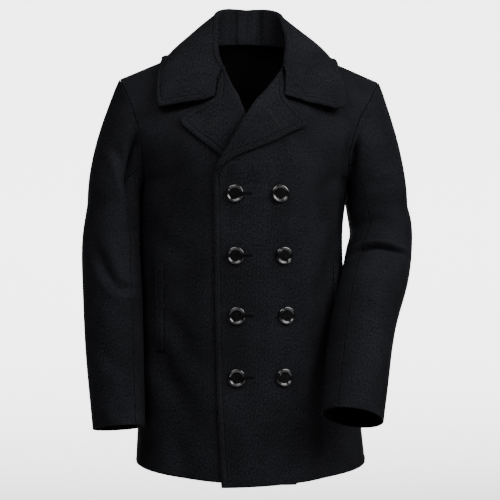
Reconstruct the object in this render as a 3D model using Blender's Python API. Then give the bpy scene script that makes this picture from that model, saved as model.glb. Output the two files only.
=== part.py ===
"""A double-breasted pea coat, filled out as worn, with no wearer.

Metres, +Z up, the front faces -Y and the wearer's left is +X. The origin is at the middle of the
neck's base, level with the points where the shoulder seams meet the neck. Each panel is a wall of
heavy wool cloth: its outer face is worked out row by row from short tables, and its inner face
lies one cloth thickness behind it.
"""

import math
from collections import namedtuple

import bpy
import numpy as np
from mathutils import Vector
from mathutils.bvhtree import BVHTree

CLOTH = 0.0026  # heavy melton
COLLAR_CLOTH = 0.0034  # two layers of melton, pressed together
LINING = 0.0012
GAP = 0.0003
LAP = CLOTH + 0.0013  # how far a lapping panel lies above the one below
OVER_LAPEL = 0.0095  # how much further the left front stands off where the right lapel's end is under it
REST = 0.0008  # how far a flat trimming lies above the panel that carries it

BODY_COLUMNS = 13
BACK_COLUMNS = 10
ROWS_PER_KEY = (3, 3, 3, 3, 3, 2, 2, 2, 2, 2, 3)
ARMPIT_KEY = 5  # the key row at the underarm
NAPE_KEY = 10  # the key row that ends at the nape
TOP_KEY = 11  # the key row along the shoulder seam

BUTTON_RADIUS = 0.0155
BUTTON_DEPTH = 0.0052
BUTTON_SIDES = 18
BUTTON_ROWS = ((-0.0428, 0.0356, -0.268), (-0.0416, 0.0419, -0.3745), (-0.0399, 0.0460, -0.4775),
               (-0.0401, 0.0415, -0.5835))  # x of each column, and the height of the row

WELT_WIDTH = 0.0125
WELT_LENGTH = 0.150
WELT_THICK = 0.0024
WELT_TOP = -0.390
WELT_X = {1: 0.1480, -1: 0.1650}
WELT_ROWS, WELT_COLUMNS = 13, 3

VENT_TOP = -0.535
VENT_LAP = 0.034

# Front rows, from the hem to the shoulder seam. lead: the row's first handle; out: where the row
# meets the side seam or armhole; pull: its last handle.
Front = namedtuple("Front", "lead_x lead_y lead_z right_x left_x out_y out_z pull_x pull_y pull_z")
FRONT_ROWS = (
    Front(0.135, -0.004, 0.002, 0.2025, 0.2100, 0.004, -0.742, 0.002, -0.122, -0.010),
    Front(0.135, -0.004, 0.000, 0.1985, 0.1990, 0.004, -0.645, 0.000, -0.120, 0.000),
    Front(0.130, -0.004, 0.000, 0.1970, 0.1830, 0.004, -0.530, 0.000, -0.116, 0.000),
    Front(0.125, -0.004, 0.000, 0.1975, 0.1720, 0.004, -0.420, 0.000, -0.112, 0.000),
    Front(0.125, -0.004, 0.000, 0.1960, 0.1705, 0.003, -0.330, 0.000, -0.108, 0.000),
    Front(0.125, -0.005, 0.000, 0.1925, 0.1810, 0.000, -0.250, 0.000, -0.095, 0.000),
    Front(0.115, -0.006, 0.002, 0.1900, 0.1790, -0.030, -0.239, -0.008, -0.062, 0.000),
    Front(0.100, -0.008, -0.008, 0.1925, 0.1780, -0.052, -0.215, -0.018, -0.050, 0.002),
    Front(0.075, -0.010, -0.012, 0.1985, 0.1800, -0.067, -0.177, -0.034, -0.036, 0.004),
    Front(0.062, -0.012, -0.012, 0.2080, 0.1900, -0.062, -0.134, -0.050, -0.026, 0.006),
    Front(0.055, -0.008, -0.012, 0.2200, 0.2140, -0.042, -0.095, -0.055, -0.014, 0.012),
    Front(0.055, 0.000, -0.014, 0.2320, 0.2380, 0.003, -0.060, -0.055, -0.001, 0.022),
)

# The fronts' inner edges: the front edge up to the break, then the roll line and the neckline.
Edge = namedtuple("Edge", "left_x left_z right_x right_z y")
EDGE_ROWS = (
    Edge(-0.0660, -0.771, 0.0640, -0.768, 0.0),
    Edge(-0.0725, -0.650, 0.0680, -0.648, 0.0),
    Edge(-0.0755, -0.535, 0.0690, -0.532, 0.0),
    Edge(-0.0770, -0.425, 0.0690, -0.425, 0.0),
    Edge(-0.0778, -0.335, 0.0680, -0.335, 0.0),
    Edge(-0.0785, -0.262, 0.0600, -0.262, 0.0),
    Edge(-0.0775, -0.232, 0.0450, -0.222, 0.0),
    Edge(-0.0520, -0.185, 0.0130, -0.175, 0.0),
    Edge(-0.0185, -0.130, -0.0185, -0.131, -0.111),
    Edge(0.0220, -0.083, -0.0400, -0.082, -0.083),
    Edge(0.0575, -0.046, -0.0575, -0.046, -0.053),
    Edge(0.0750, 0.000, -0.0750, 0.000, 0.000),
)

# The front's depth at its middle, which both fronts share where they lap.
FRONT_DEPTH = ((-0.80, 0.1500), (-0.65, 0.1480), (-0.53, 0.1450), (-0.42, 0.1420), (-0.33, 0.1410),
               (-0.25, 0.1390), (-0.19, 0.1300), (-0.13, 0.1120), (-0.08, 0.0900))
FRONT_BOW = 1.75  # how fast the depth falls off to the sides, per metre

# Back rows: the centre-back point, the handles and the side seam or armhole.
Back = namedtuple("Back", "in_x in_y in_z lead_x lead_y lead_z out_y out_z pull_x pull_y pull_z")
BACK_ROWS = (
    Back(0.000, 0.140, -0.746, 0.110, 0.002, 0.000, 0.004, -0.742, 0.002, 0.085, 0.000),
    Back(0.000, 0.134, -0.645, 0.108, 0.002, 0.000, 0.004, -0.645, 0.000, 0.082, 0.000),
    Back(0.000, 0.122, -0.530, 0.105, 0.002, 0.000, 0.004, -0.530, 0.000, 0.076, 0.000),
    Back(0.000, 0.112, -0.420, 0.100, 0.002, 0.000, 0.004, -0.420, 0.000, 0.072, 0.000),
    Back(0.000, 0.114, -0.330, 0.100, 0.003, 0.000, 0.003, -0.330, 0.000, 0.074, 0.000),
    Back(0.000, 0.121, -0.250, 0.100, 0.004, 0.000, 0.000, -0.250, 0.000, 0.076, 0.000),
    Back(0.000, 0.123, -0.215, 0.095, 0.004, 0.000, 0.030, -0.236, -0.004, 0.052, 0.000),
    Back(0.000, 0.122, -0.175, 0.085, 0.004, 0.000, 0.052, -0.208, -0.014, 0.040, 0.000),
    Back(0.000, 0.118, -0.130, 0.080, 0.004, 0.000, 0.066, -0.168, -0.034, 0.030, 0.002),
    Back(0.000, 0.106, -0.075, 0.075, 0.002, -0.004, 0.062, -0.126, -0.048, 0.022, 0.006),
    Back(0.000, 0.064, 0.014, 0.085, 0.012, -0.018, 0.042, -0.091, -0.050, 0.012, 0.014),
    Back(0.075, 0.000, 0.000, 0.055, 0.000, -0.014, 0.003, -0.060, -0.055, 0.001, 0.022),
)

# Sleeve rings below the cap: the ring's centre, and its half widths across and front to back.
Ring = namedtuple("Ring", "x y z wide deep")
RIGHT_RINGS = (
    Ring(-0.2416, 0.002, -0.282, 0.0480, 0.080),
    Ring(-0.2470, -0.008, -0.355, 0.0525, 0.077),
    Ring(-0.2450, -0.024, -0.440, 0.0535, 0.073),
    Ring(-0.2430, -0.046, -0.545, 0.0512, 0.067),
    Ring(-0.2370, -0.070, -0.674, 0.0460, 0.060),
)
LEFT_RINGS = (
    Ring(0.2332, 0.000, -0.282, 0.0552, 0.080),
    Ring(0.2405, -0.012, -0.338, 0.0540, 0.078),
    Ring(0.2215, -0.046, -0.405, 0.0615, 0.072),
    Ring(0.1880, -0.112, -0.490, 0.0572, 0.060),
    Ring(0.1670, -0.161, -0.570, 0.0560, 0.053),
    Ring(0.1500, -0.202, -0.648, 0.0538, 0.042),
)
CAP_STEPS = 6
RING_STEPS = {4: 5, 5: 4}  # rings worked out between two key rings, by the number of stretches
CAP_LEAVE, CAP_ARRIVE = 0.30, 0.32  # the cap's two handles, as shares of its length
CAP_FULL = 0.008  # how far the cap stands out beyond its seam
SEAM_LEAN = 0.5  # how much the cap's inner edge leans back into the armhole
SLEEVE_CLEAR = 0.006
UNDERARM_CLEAR = 0.0035  # the sleeve presses closer to the body under the arm
BESIDE = 0.0015  # a point this far past the edge of a face isn't over it
UNDER_FROM, UNDER_TO = 9, 15  # the columns of the sleeve's ring between its two seams

# Collar sections, from the centre back to the end at the gorge: the neck seam, the roll (the
# fold's top), and the outer edge of the fall.
Section = namedtuple("Section", "at seam_x seam_y seam_z roll_x roll_y roll_z edge_x edge_y edge_z")
COLLAR_SECTIONS = (
    Section(0.00, 0.0000, 0.0545, 0.0115, 0.0000, 0.0640, 0.0760, 0.0000, 0.0980, -0.0170),
    Section(0.15, 0.0268, 0.0497, 0.0103, 0.0320, 0.0570, 0.0770, 0.0650, 0.0900, -0.0180),
    Section(0.30, 0.0500, 0.0350, 0.0066, 0.0560, 0.0370, 0.0685, 0.1220, 0.0600, -0.0240),
    Section(0.45, 0.0650, 0.0066, -0.0005, 0.0630, 0.0080, 0.0440, 0.1515, 0.0100, -0.0300),
    Section(0.60, 0.0670, -0.0200, -0.0150, 0.0655, -0.0190, 0.0140, 0.1590, -0.0450, -0.0580),
    Section(0.72, 0.0615, -0.0370, -0.0310, 0.0630, -0.0370, -0.0120, 0.1600, -0.0860, -0.1050),
    Section(0.80, 0.0560, -0.0450, -0.0400, 0.0600, -0.0470, -0.0250, 0.1480, -0.0930, -0.1150),
    Section(0.90, 0.0540, -0.0510, -0.0450, 0.0580, -0.0540, -0.0330, 0.1000, -0.0960, -0.1070),
    Section(1.00, 0.0510, -0.0550, -0.0490, 0.0555, -0.0600, -0.0390, 0.0550, -0.0840, -0.0980),
)
COLLAR_HALF_STEPS = 17
COLLAR_SHIFT = 0.0035  # the collar sits this much to the wearer's left behind the shoulders
RIGHT_GORGE_SHIFT = 0.0110  # the right gorge lies this much further out than the left one
STAND_STEPS, ROLL_STEPS, FALL_STEPS = 2, 3, 5
COLLAR_ROLL = 0.0060
COLLAR_CLEAR = 0.0020
SHOULDER_RISE = 0.0055  # the fall bridges the ridge of the shoulder seam
SHOULDER_WIDE = 0.032
NECK_OVAL = 0.8  # the neck's depth as a share of its width
ROLL_OUTWARD = 0.10  # how much the roll turns straight out from the neck rather than to its edge
FALL_BELLY = 0.10  # how full the fall is between its roll and its edge, as a share of its width
BELLY_UP = 0.6

# Lapel sections, from the gorge to the break: the roll line, the outer edge and the roll's radius.
Lapel = namedtuple("Lapel", "at roll_x roll_z edge_x edge_z roll")
LEFT_LAPEL = (
    Lapel(0.00, 0.0540, -0.0480, 0.0543, -0.0620, 0.0036),
    Lapel(0.20, 0.0400, -0.0625, 0.0543, -0.0985, 0.0036),
    Lapel(0.30, 0.0300, -0.0755, 0.0660, -0.1220, 0.0036),
    Lapel(0.42, 0.0160, -0.0920, 0.0840, -0.1460, 0.0036),
    Lapel(0.56, 0.0000, -0.1080, 0.0560, -0.1620, 0.0036),
    Lapel(0.72, -0.0240, -0.1380, 0.0060, -0.1850, 0.0034),
    Lapel(0.87, -0.0500, -0.1790, -0.0360, -0.2030, 0.0032),
    Lapel(1.00, -0.0730, -0.2170, -0.0620, -0.2260, 0.0028),
)
RIGHT_LAPEL = (
    Lapel(0.00, -0.0530, -0.0480, -0.0560, -0.0620, 0.0036),
    Lapel(0.24, -0.0420, -0.0800, -0.0645, -0.0980, 0.0034),
    Lapel(0.34, -0.0375, -0.0890, -0.1003, -0.1200, 0.0032),
    Lapel(0.46, -0.0325, -0.0980, -0.1315, -0.1425, 0.0030),
    Lapel(0.62, -0.0290, -0.1070, -0.1180, -0.1640, 0.0028),
    Lapel(0.82, -0.0240, -0.1210, -0.0850, -0.1910, 0.0025),
    Lapel(1.00, -0.0190, -0.1330, -0.0560, -0.2120, 0.0024),
)
LAPEL_STEPS = 16
LAPEL_ACROSS = 6
LAPEL_ROLL_TURNS = (0.45 * math.pi, 0.70 * math.pi)  # the angles of the roll's two first rows
LAPEL_EDGE_LIFT = 0.0003
LAPEL_SET = 0.004  # how far inside the front's edge the roll begins, where the lapel is wide
LAPEL_SET_SHARE = 0.25  # and at most this share of its width where it is narrow

# The largest creases in the hang of the cloth, seen from the front or the back: points (x, z) along
# the crease, its half width, its depth (a ridge where negative) and how far the ridge beside it lies.
Crease = namedtuple("Crease", "points width depth beside")
RIGHT_FRONT_CREASES = (
    Crease(((-0.176, -0.520), (-0.150, -0.590), (-0.118, -0.665)), 0.020, 0.0100, 0.036),
    Crease(((-0.168, -0.460), (-0.140, -0.500), (-0.098, -0.575)), 0.018, 0.0050, 0.032),
    Crease(((-0.160, -0.630), (-0.140, -0.690), (-0.132, -0.750)), 0.020, 0.0060, 0.032),
    Crease(((-0.140, -0.150), (-0.152, -0.240), (-0.150, -0.330)), 0.022, 0.0045, 0.036),
)
LEFT_FRONT_CREASES = (
    Crease(((0.165, -0.300), (0.140, -0.380), (0.112, -0.460)), 0.020, 0.0060, 0.034),
    Crease(((0.140, -0.240), (0.110, -0.270), (0.080, -0.330)), 0.018, 0.0030, 0.028),
    Crease(((0.110, -0.600), (0.122, -0.680), (0.120, -0.750)), 0.020, 0.0050, 0.034),
)
BACK_CREASES = (
    Crease(((0.150, -0.220), (0.125, -0.320), (0.105, -0.430)), 0.022, 0.0050, 0.034),
    Crease(((0.160, -0.360), (0.120, -0.390), (0.060, -0.410)), 0.020, 0.0035, 0.030),
    Crease(((0.120, -0.540), (0.130, -0.640), (0.134, -0.740)), 0.022, 0.0060, 0.036),
)
RIGHT_SLEEVE_CREASES = (
    Crease(((-0.288, -0.330), (-0.266, -0.390), (-0.240, -0.428), (-0.206, -0.432)), 0.013, 0.0075, 0.021),
    Crease(((-0.252, -0.178), (-0.232, -0.215), (-0.222, -0.262)), 0.013, 0.0045, 0.020),
)
LEFT_SLEEVE_CREASES = (
    Crease(((0.178, -0.405), (0.195, -0.375), (0.225, -0.357), (0.262, -0.362), (0.288, -0.376)),
           0.012, 0.0085, 0.020),
    Crease(((0.196, -0.240), (0.224, -0.250), (0.262, -0.244)), 0.015, 0.0025, 0.023),
    Crease(((0.160, -0.520), (0.182, -0.505), (0.214, -0.512)), 0.014, 0.0025, 0.022),
)
SLEEVE_BACK_CREASES = (
    Crease(((0.190, -0.380), (0.230, -0.400), (0.280, -0.395)), 0.015, 0.0045, 0.023),
    Crease(((0.240, -0.160), (0.250, -0.240), (0.245, -0.320)), 0.018, 0.0030, 0.028),
)
RIDGE_SHARE = 0.45  # the ridge's height, as a share of its trough's depth
LINE_STEPS = 24  # points worked out along a crease




def spline(knots, values, at, steady=False):
    """Values at places along a smooth curve through the knots. A steady one never overshoots them."""
    knots, values, at = np.asarray(knots, float), np.asarray(values, float), np.asarray(at, float)
    slopes = np.gradient(values, knots, axis=0)
    if steady:
        chords = np.diff(values, axis=0) / np.diff(knots)[:, None]
        before, after = chords[:-1], chords[1:]
        both = before + after
        same_way = before * after > 0
        slopes[1:-1] = np.where(same_way, 2 * before * after / np.where(same_way, both, 1), 0)
    i = np.clip(np.searchsorted(knots, at, side="right") - 1, 0, len(knots) - 2)
    span = knots[i + 1] - knots[i]
    t = (at - knots[i]) / span
    shape = (-1,) + (1,) * (values.ndim - 1)
    t, span = t.reshape(shape), span.reshape(shape)
    return ((1 + 2 * t) * (1 - t) ** 2 * values[i] + t * (1 - t) ** 2 * span * slopes[i]
            + t * t * (3 - 2 * t) * values[i + 1] - t * t * (1 - t) * span * slopes[i + 1])


def ramp(value, low, high):
    """0 below low, 1 above high, and smooth between."""
    t = np.clip((value - low) / (high - low), 0, 1)
    return t * t * (3 - 2 * t)


def unit(vectors):
    return vectors / np.maximum(np.linalg.norm(vectors, axis=-1, keepdims=True), 1e-12)


def bezier(a, b, c, d, t):
    """Rows of points on cubic curves whose four points are the rows of a, b, c and d."""
    t = t[None, :, None]
    a, b, c, d = (p[:, None, :] for p in (a, b, c, d))
    return (1 - t) ** 3 * a + 3 * (1 - t) ** 2 * t * b + 3 * (1 - t) * t * t * c + t ** 3 * d


def grid_normals(grid):
    """The normals of a grid of points, on the side that the rows-by-columns order turns to."""
    return unit(np.cross(np.gradient(grid, axis=1), np.gradient(grid, axis=0)))


def key_places(steps):
    """Places between the key rows, with the given number of steps in each stretch."""
    places = [k + i / n for k, n in enumerate(steps) for i in range(n)]
    return np.array(places + [len(steps)])


def row_of_key(key):
    return sum(ROWS_PER_KEY[:key])


# ---- building meshes ----------------------------------------------------------------------

def cloth_material(name, colour, roughness):
    material = bpy.data.materials.new(name)
    material.use_nodes = True
    shader = material.node_tree.nodes["Principled BSDF"]
    shader.inputs["Base Color"].default_value = (*colour, 1)
    shader.inputs["Roughness"].default_value = roughness
    shader.inputs["Metallic"].default_value = 0
    return material


def add_object(name, points, faces, material, sharp_deg=50):
    """A closed mesh as an object, with its faces turned outwards."""
    points = np.asarray(points, float)
    volume = sum(np.dot(points[f[0]], np.cross(points[f[i]], points[f[i + 1]]))
                 for f in faces for i in range(1, len(f) - 1))
    if volume < 0:
        faces = [tuple(reversed(f)) for f in faces]
    mesh = bpy.data.meshes.new(name)
    mesh.from_pydata(points.tolist(), [], faces)
    mesh.shade_smooth()
    mesh.set_sharp_from_angle(angle=math.radians(sharp_deg))
    mesh.materials.append(material)
    item = bpy.data.objects.new(name, mesh)
    bpy.context.scene.collection.objects.link(item)
    return item


def grid_faces(rows, columns, start, ring=False):
    """The quads of a grid, and with ring its last column joins its first."""
    faces = []
    for r in range(rows - 1):
        for c in range(columns if ring else columns - 1):
            d = (c + 1) % columns
            faces.append((start + r * columns + c, start + r * columns + d,
                          start + (r + 1) * columns + d, start + (r + 1) * columns + c))
    return faces


def halves(points, quad):
    """A quad as two triangles, split along its shorter diagonal."""
    a, b, c, d = quad
    if np.linalg.norm(points[a] - points[c]) <= np.linalg.norm(points[b] - points[d]):
        return [(a, b, c), (a, c, d)]
    return [(b, c, d), (b, d, a)]


def wall(name, outer, inner, material):
    """A cloth wall between two grids of points, with its four edges closed."""
    rows, columns = outer.shape[:2]
    count = rows * columns
    faces = grid_faces(rows, columns, 0)
    faces += [tuple(reversed(f)) for f in grid_faces(rows, columns, count)]
    border = ([(0, c) for c in range(columns)] + [(r, columns - 1) for r in range(1, rows)]
              + [(rows - 1, c) for c in range(columns - 2, -1, -1)]
              + [(r, 0) for r in range(rows - 2, 0, -1)])
    index = [r * columns + c for r, c in border]
    for a, b in zip(index, index[1:] + index[:1]):
        faces.append((b, a, a + count, b + count))
    points = np.concatenate([outer.reshape(-1, 3), inner.reshape(-1, 3)])
    return add_object(name, points, [t for quad in faces for t in halves(points, quad)], material)


def tuck(grid, sides, by=GAP / 2):
    """Moves the named edges of a grid back into it, so that two sewn pieces keep a gap."""
    grid = grid.copy()
    if "first_row" in sides:
        grid[0] += by * unit(grid[1] - grid[0])
    if "last_row" in sides:
        grid[-1] += by * unit(grid[-2] - grid[-1])
    if "first_column" in sides:
        grid[:, 0] += by * unit(grid[:, 1] - grid[:, 0])
    if "last_column" in sides:
        grid[:, -1] += by * unit(grid[:, -2] - grid[:, -1])
    return grid


def tree_of(*grids):
    """A search tree of the faces of some grids, split as their walls are."""
    points, faces = [], []
    for grid in grids:
        quads = grid_faces(*grid.shape[:2], len(points))
        points += list(grid.reshape(-1, 3))
        faces += [t for quad in quads for t in halves(points, quad)]
    return BVHTree.FromPolygons(points, faces)


NEAR = 0.010  # a front's normal is the mean of those this far round a place
AROUND = ((0, 0), (NEAR, 0), (-NEAR, 0), (0, NEAR), (0, -NEAR))


def onto(tree, x, z, above):
    """The point of a front's face at x and z, moved out along its normal, and that normal."""
    hits = [tree.ray_cast(Vector((x + dx, -1.0, z + dz)), Vector((0, 1, 0)))[:2]
            for dx, dz in AROUND]
    normals = [n if n.y < 0 else -n for place, n in hits if place is not None]
    normal = sum(normals, Vector()) / max(len(normals), 1)
    place = hits[0][0]
    if place is None:  # just past the front's edge, so its tangent is followed
        place, flat, _, _ = tree.find_nearest(Vector((x, -0.1, z)))
        normal = sum(normals, flat if flat.y < 0 else -flat)
        off = Vector((x, place.y, z)) - place
        place = Vector((x, place.y - off.dot(normal) / normal.y, z))
    normal.normalize()
    return np.array(place + normal * above), np.array(normal)


def kept_clear(points, tree, clear, inside):
    """Points moved out where they lie closer to a face than they may; inside tells which way."""
    moved = points.copy()
    for i in np.ndindex(points.shape[:-1]):
        place, normal, _, _ = tree.find_nearest(Vector(points[i]))
        way = np.array(normal)
        if np.dot(way, np.array(place) - inside(np.array(place))) < 0:
            way = -way
        offset = points[i] - np.array(place)
        height = np.dot(offset, way)
        beside = np.linalg.norm(offset - height * way)
        if height < clear and beside < BESIDE:
            moved[i] = points[i] + way * (clear - height)
    return moved


def body_axis(place):
    """The point on the body's upright axis that is level with a place."""
    return np.array([0.0, 0.0, min(place[2], -0.12)])


def along_line(places, line):
    """How far each (x, z) place lies to the side of a line of points, and how far along it, 0 to 1."""
    fine = spline(np.linspace(0, 1, len(line)), np.array(line, float), np.linspace(0, 1, LINE_STEPS))
    starts, ways = fine[:-1], np.diff(fine, axis=0)
    off = places[..., None, :] - starts
    t = np.clip((off * ways).sum(-1) / (ways ** 2).sum(-1), 0, 1)
    rest = off - t[..., None] * ways
    far = np.linalg.norm(rest, axis=-1)
    nearest = far.argmin(-1)[..., None]
    turned = ways[:, 0] * rest[..., 1] - ways[:, 1] * rest[..., 0]
    side = np.take_along_axis(np.sign(turned) * far, nearest, -1)[..., 0]
    along = np.take_along_axis((np.arange(len(starts)) + t) / len(starts), nearest, -1)[..., 0]
    return side, along


def creased(grid, normals, creases, facing=-1, mirror=1):
    """The grid with its soft troughs, each with a lower ridge beside it, where it faces that way."""
    faces_us = ramp(normals[..., 1] * facing, 0.05, 0.35)
    sink = np.zeros(grid.shape[:2])
    for crease in creases:
        side, along = along_line(grid[..., [0, 2]], [(x * mirror, z) for x, z in crease.points])
        trough = np.exp(-(side / crease.width) ** 2)
        ridge = np.exp(-((side * mirror + crease.beside) / crease.width) ** 2)
        fade = np.sin(np.pi * np.clip(along, 0.03, 0.97)) ** 0.7
        sink += crease.depth * (trough - RIDGE_SHARE * ridge) * fade
    return grid - normals * (sink * faces_us)[..., None]


# ---- the body -----------------------------------------------------------------------------

def front_field(x, z):
    """The depth of the fronts' shared middle."""
    heights, depths = zip(*FRONT_DEPTH)
    return -spline(heights, depths, np.ravel(z)).reshape(np.shape(z)) + FRONT_BOW * x * x


def front_grid(side):
    """The outer face of one front, as rows from the front edge to the side; side is 1 for left."""
    places = key_places(ROWS_PER_KEY)
    table = np.array([
        (e.left_x if side > 0 else e.right_x, e.y, e.left_z if side > 0 else e.right_z,
         side * f.lead_x, f.lead_y, f.lead_z,
         side * (f.left_x if side > 0 else f.right_x), f.out_y, f.out_z,
         side * f.pull_x, f.pull_y, f.pull_z)
        for e, f in zip(EDGE_ROWS, FRONT_ROWS)])
    low = np.array([e.y == 0 and k < TOP_KEY for k, e in enumerate(EDGE_ROWS)])
    table[low, 1] = front_field(table[low, 0], table[low, 2])
    rows = spline(np.arange(len(table)), table, places)
    inner, lead, outer, pull = (rows[:, i:i + 3] for i in (0, 3, 6, 9))
    grid = bezier(inner, inner + lead, outer + pull, outer, np.linspace(0, 1, BODY_COLUMNS))
    shared = (1 - ramp(np.abs(grid[..., 0]), 0.085, 0.135)) * (1 - ramp(grid[..., 2], -0.140, -0.100))
    grid[..., 1] += shared * (front_field(grid[..., 0], grid[..., 2]) - grid[..., 1])
    return grid


def back_grid(side):
    """The outer face of one back, as rows from the centre back to the side."""
    places = key_places(ROWS_PER_KEY)
    table = np.array([
        (side * b.in_x, b.in_y, b.in_z, side * b.lead_x, b.lead_y, b.lead_z,
         side * (f.left_x if side > 0 else f.right_x), b.out_y, b.out_z,
         side * b.pull_x, b.pull_y, b.pull_z)
        for b, f in zip(BACK_ROWS, FRONT_ROWS)])
    rows = spline(np.arange(len(table)), table, places)
    nape = row_of_key(NAPE_KEY)
    rows[:nape + 1, 0] = 0
    turn = (places[nape:] - NAPE_KEY) * math.pi / 2
    rows[nape:, 0] = side * BACK_ROWS[TOP_KEY].in_x * np.sin(turn)
    rows[nape:, 1] = BACK_ROWS[NAPE_KEY].in_y * np.cos(turn)
    rows[nape:, 2] = BACK_ROWS[NAPE_KEY].in_z * np.cos(turn)
    inner, lead, outer, pull = (rows[:, i:i + 3] for i in (0, 3, 6, 9))
    return bezier(inner, inner + lead, outer + pull, outer, np.linspace(0, 1, BACK_COLUMNS))


def outward(grid):
    """The grid's normals, turned away from the body's axis."""
    normals = grid_normals(grid)
    middle = grid[grid.shape[0] // 2, grid.shape[1] // 2]
    if np.dot(normals[grid.shape[0] // 2, grid.shape[1] // 2], middle - body_axis(middle)) < 0:
        normals = -normals
    return normals


def hung(grid, creases, facing=-1, mirror=1):
    return creased(grid, outward(grid), creases, facing, mirror)


def body_panels():
    """Outer grids and normals of the two fronts and the two backs, which agree along their seams."""
    grids = {
        "front_right": hung(front_grid(-1), RIGHT_FRONT_CREASES),
        "front_left": hung(front_grid(1), LEFT_FRONT_CREASES),
        "back_right": hung(back_grid(-1), BACK_CREASES, 1, -1),
        "back_left": hung(back_grid(1), BACK_CREASES, 1),
    }
    left = grids["front_left"]
    lap = 1 - ramp(left[..., 0], 0.075, 0.115)
    over_lapel = ((1 - ramp(left[..., 0], -0.010, 0.045)) * ramp(left[..., 2], -0.262, -0.215)
                  * (1 - ramp(left[..., 2], -0.140, -0.100)))
    left[..., 1] -= LAP * lap * (1 - ramp(left[..., 2], -0.125, -0.085)) + OVER_LAPEL * over_lapel

    armpit = row_of_key(ARMPIT_KEY)
    for side in ("left", "right"):
        front, back = grids[f"front_{side}"], grids[f"back_{side}"]
        seam = (front[:armpit + 1, -1] + back[:armpit + 1, -1]) / 2
        front[:armpit + 1, -1] = back[:armpit + 1, -1] = seam
        front[-1], back[-1] = shoulder_seam(front[-1], back[-1])
    lapped_vent(grids["back_left"], tree_of(grids["back_left"], grids["back_right"]))
    normals = {name: outward(grid) for name, grid in grids.items()}
    for side in ("left", "right"):
        front, back = normals[f"front_{side}"], normals[f"back_{side}"]
        seam = unit(front[:armpit + 1, -1] + back[:armpit + 1, -1])
        front[:armpit + 1, -1] = back[:armpit + 1, -1] = seam
        top = unit(resampled(front[-1], len(back[-1])) + back[-1])
        back[-1] = top
        front[-1] = resampled(top, len(front[-1]))
    centre = unit(normals["back_left"][:, 0] + normals["back_right"][:, 0])
    vent = int(np.sum(grids["back_left"][:, 0, 2] < VENT_TOP + 3 * VENT_LAP))
    nape = row_of_key(NAPE_KEY) + 1
    normals["back_left"][vent:nape, 0] = normals["back_right"][vent:nape, 0] = centre[vent:nape]
    return grids, normals


def resampled(line, count):
    """A line of points or normals again, with another number of them."""
    old, new = np.linspace(0, 1, len(line)), np.linspace(0, 1, count)
    return np.stack([np.interp(new, old, line[:, k]) for k in range(3)], axis=1)


def shoulder_seam(front, back):
    """The shared line of the shoulder seam, for a front and a back with other column counts."""
    line = spline(np.linspace(0, 1, len(front)), front, np.linspace(0, 1, len(back)))
    return resampled(line, len(front)), line


def lapped_vent(grid, tree):
    """The left back with its vent extension lapped over the right back."""
    below = 1 - ramp(grid[:, :, 2], VENT_TOP - 0.004, VENT_TOP + 0.004)
    across = np.linspace(0, 1, grid.shape[1])
    grid[..., 0] -= below * VENT_LAP * (1 - across) ** 2
    lift = LAP * (1 - ramp(grid[..., 0], 0.006, 0.040))
    lift *= 1 - ramp(grid[..., 2], VENT_TOP + VENT_LAP, VENT_TOP + 3 * VENT_LAP)
    lowest = grid[0, :, 2].max() + GAP
    for i in zip(*np.nonzero(lift)):
        level = max(grid[i][2], lowest)
        place = tree.ray_cast(Vector((grid[i][0], 1.0, level)), Vector((0, -1, 0)))[0]
        grid[i][1] = place.y + lift[i]


# ---- sleeves ------------------------------------------------------------------------------

def armhole(front, back, front_normals, back_normals):
    """The armhole's outer and inner loops, from the shoulder tip down the front and up the back."""
    armpit = row_of_key(ARMPIT_KEY)
    points = np.concatenate([front[:armpit - 1:-1, -1], back[armpit + 1:-1, -1]])
    normals = np.concatenate([front_normals[:armpit - 1:-1, -1], back_normals[armpit + 1:-1, -1]])
    inward = np.concatenate([front[:armpit - 1:-1, -2], back[armpit + 1:-1, -2]])
    return points, normals, unit(points - inward)


def sleeve_grid(side, table, hole, away, body):
    """The outer face of a sleeve, as rings from the armhole to the cuff."""
    count = len(hole)
    turn = 2 * np.pi * np.arange(count) / count
    centres = np.array([(r.x, r.y, r.z) for r in table])
    stretches = len(table) - 1
    places = np.linspace(0, stretches, stretches * RING_STEPS[stretches] + 1)
    knots = np.arange(len(table))
    path = spline(knots, centres, places)
    wide = spline(knots, [r.wide for r in table], places)
    deep = spline(knots, [r.deep for r in table], places)
    level = 1 - ramp(places, 0, 1)[:, None]  # the bicep's ring is level, and the next ones tilt
    down = unit(unit(np.gradient(path, axis=0)) * (1 - level) + level * [0, 0, -1])
    across = unit(np.array([side, 0, 0]) - (down * [side, 0, 0]).sum(1)[:, None] * down)
    forward = unit(np.cross(down, across))
    forward *= np.sign(-forward[:, 1:2])
    rings = (path[:, None] + wide[:, None, None] * np.cos(turn)[None, :, None] * across[:, None]
             + deep[:, None, None] * np.sin(turn)[None, :, None] * forward[:, None])
    first = hole + GAP * away
    bicep = rings[0]
    out = unit(bicep - path[0]) * (0.5 + 0.5 * np.cos(turn))[:, None]
    leave = CAP_LEAVE * (bicep - first) + CAP_FULL * (out + away)
    arrive = np.zeros_like(leave)
    arrive[:, 2] = CAP_ARRIVE * np.linalg.norm(bicep - first, axis=1)
    cap = bezier(first, first + leave, bicep + arrive, bicep, np.linspace(0, 1, CAP_STEPS + 1))
    grid = np.concatenate([cap.transpose(1, 0, 2)[:-1], rings])
    clear = np.interp(np.arange(len(grid)),
                      (1, CAP_STEPS / 2, CAP_STEPS, CAP_STEPS + RING_STEPS[stretches]),
                      (0, UNDERARM_CLEAR, UNDERARM_CLEAR, SLEEVE_CLEAR))
    for r in range(2, len(grid)):
        grid[r] = kept_clear(grid[r], body, clear[r], body_axis)
    return grid


def ring_normals(grid):
    """The normals of a closed ring grid, turned out from its middle."""
    ring = np.concatenate([grid[:, -1:], grid, grid[:, :1]], axis=1)
    face = grid_normals(ring)[:, 1:-1]
    return face if ((grid - grid.mean(axis=1, keepdims=True)) * face).sum() > 0 else -face


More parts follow.
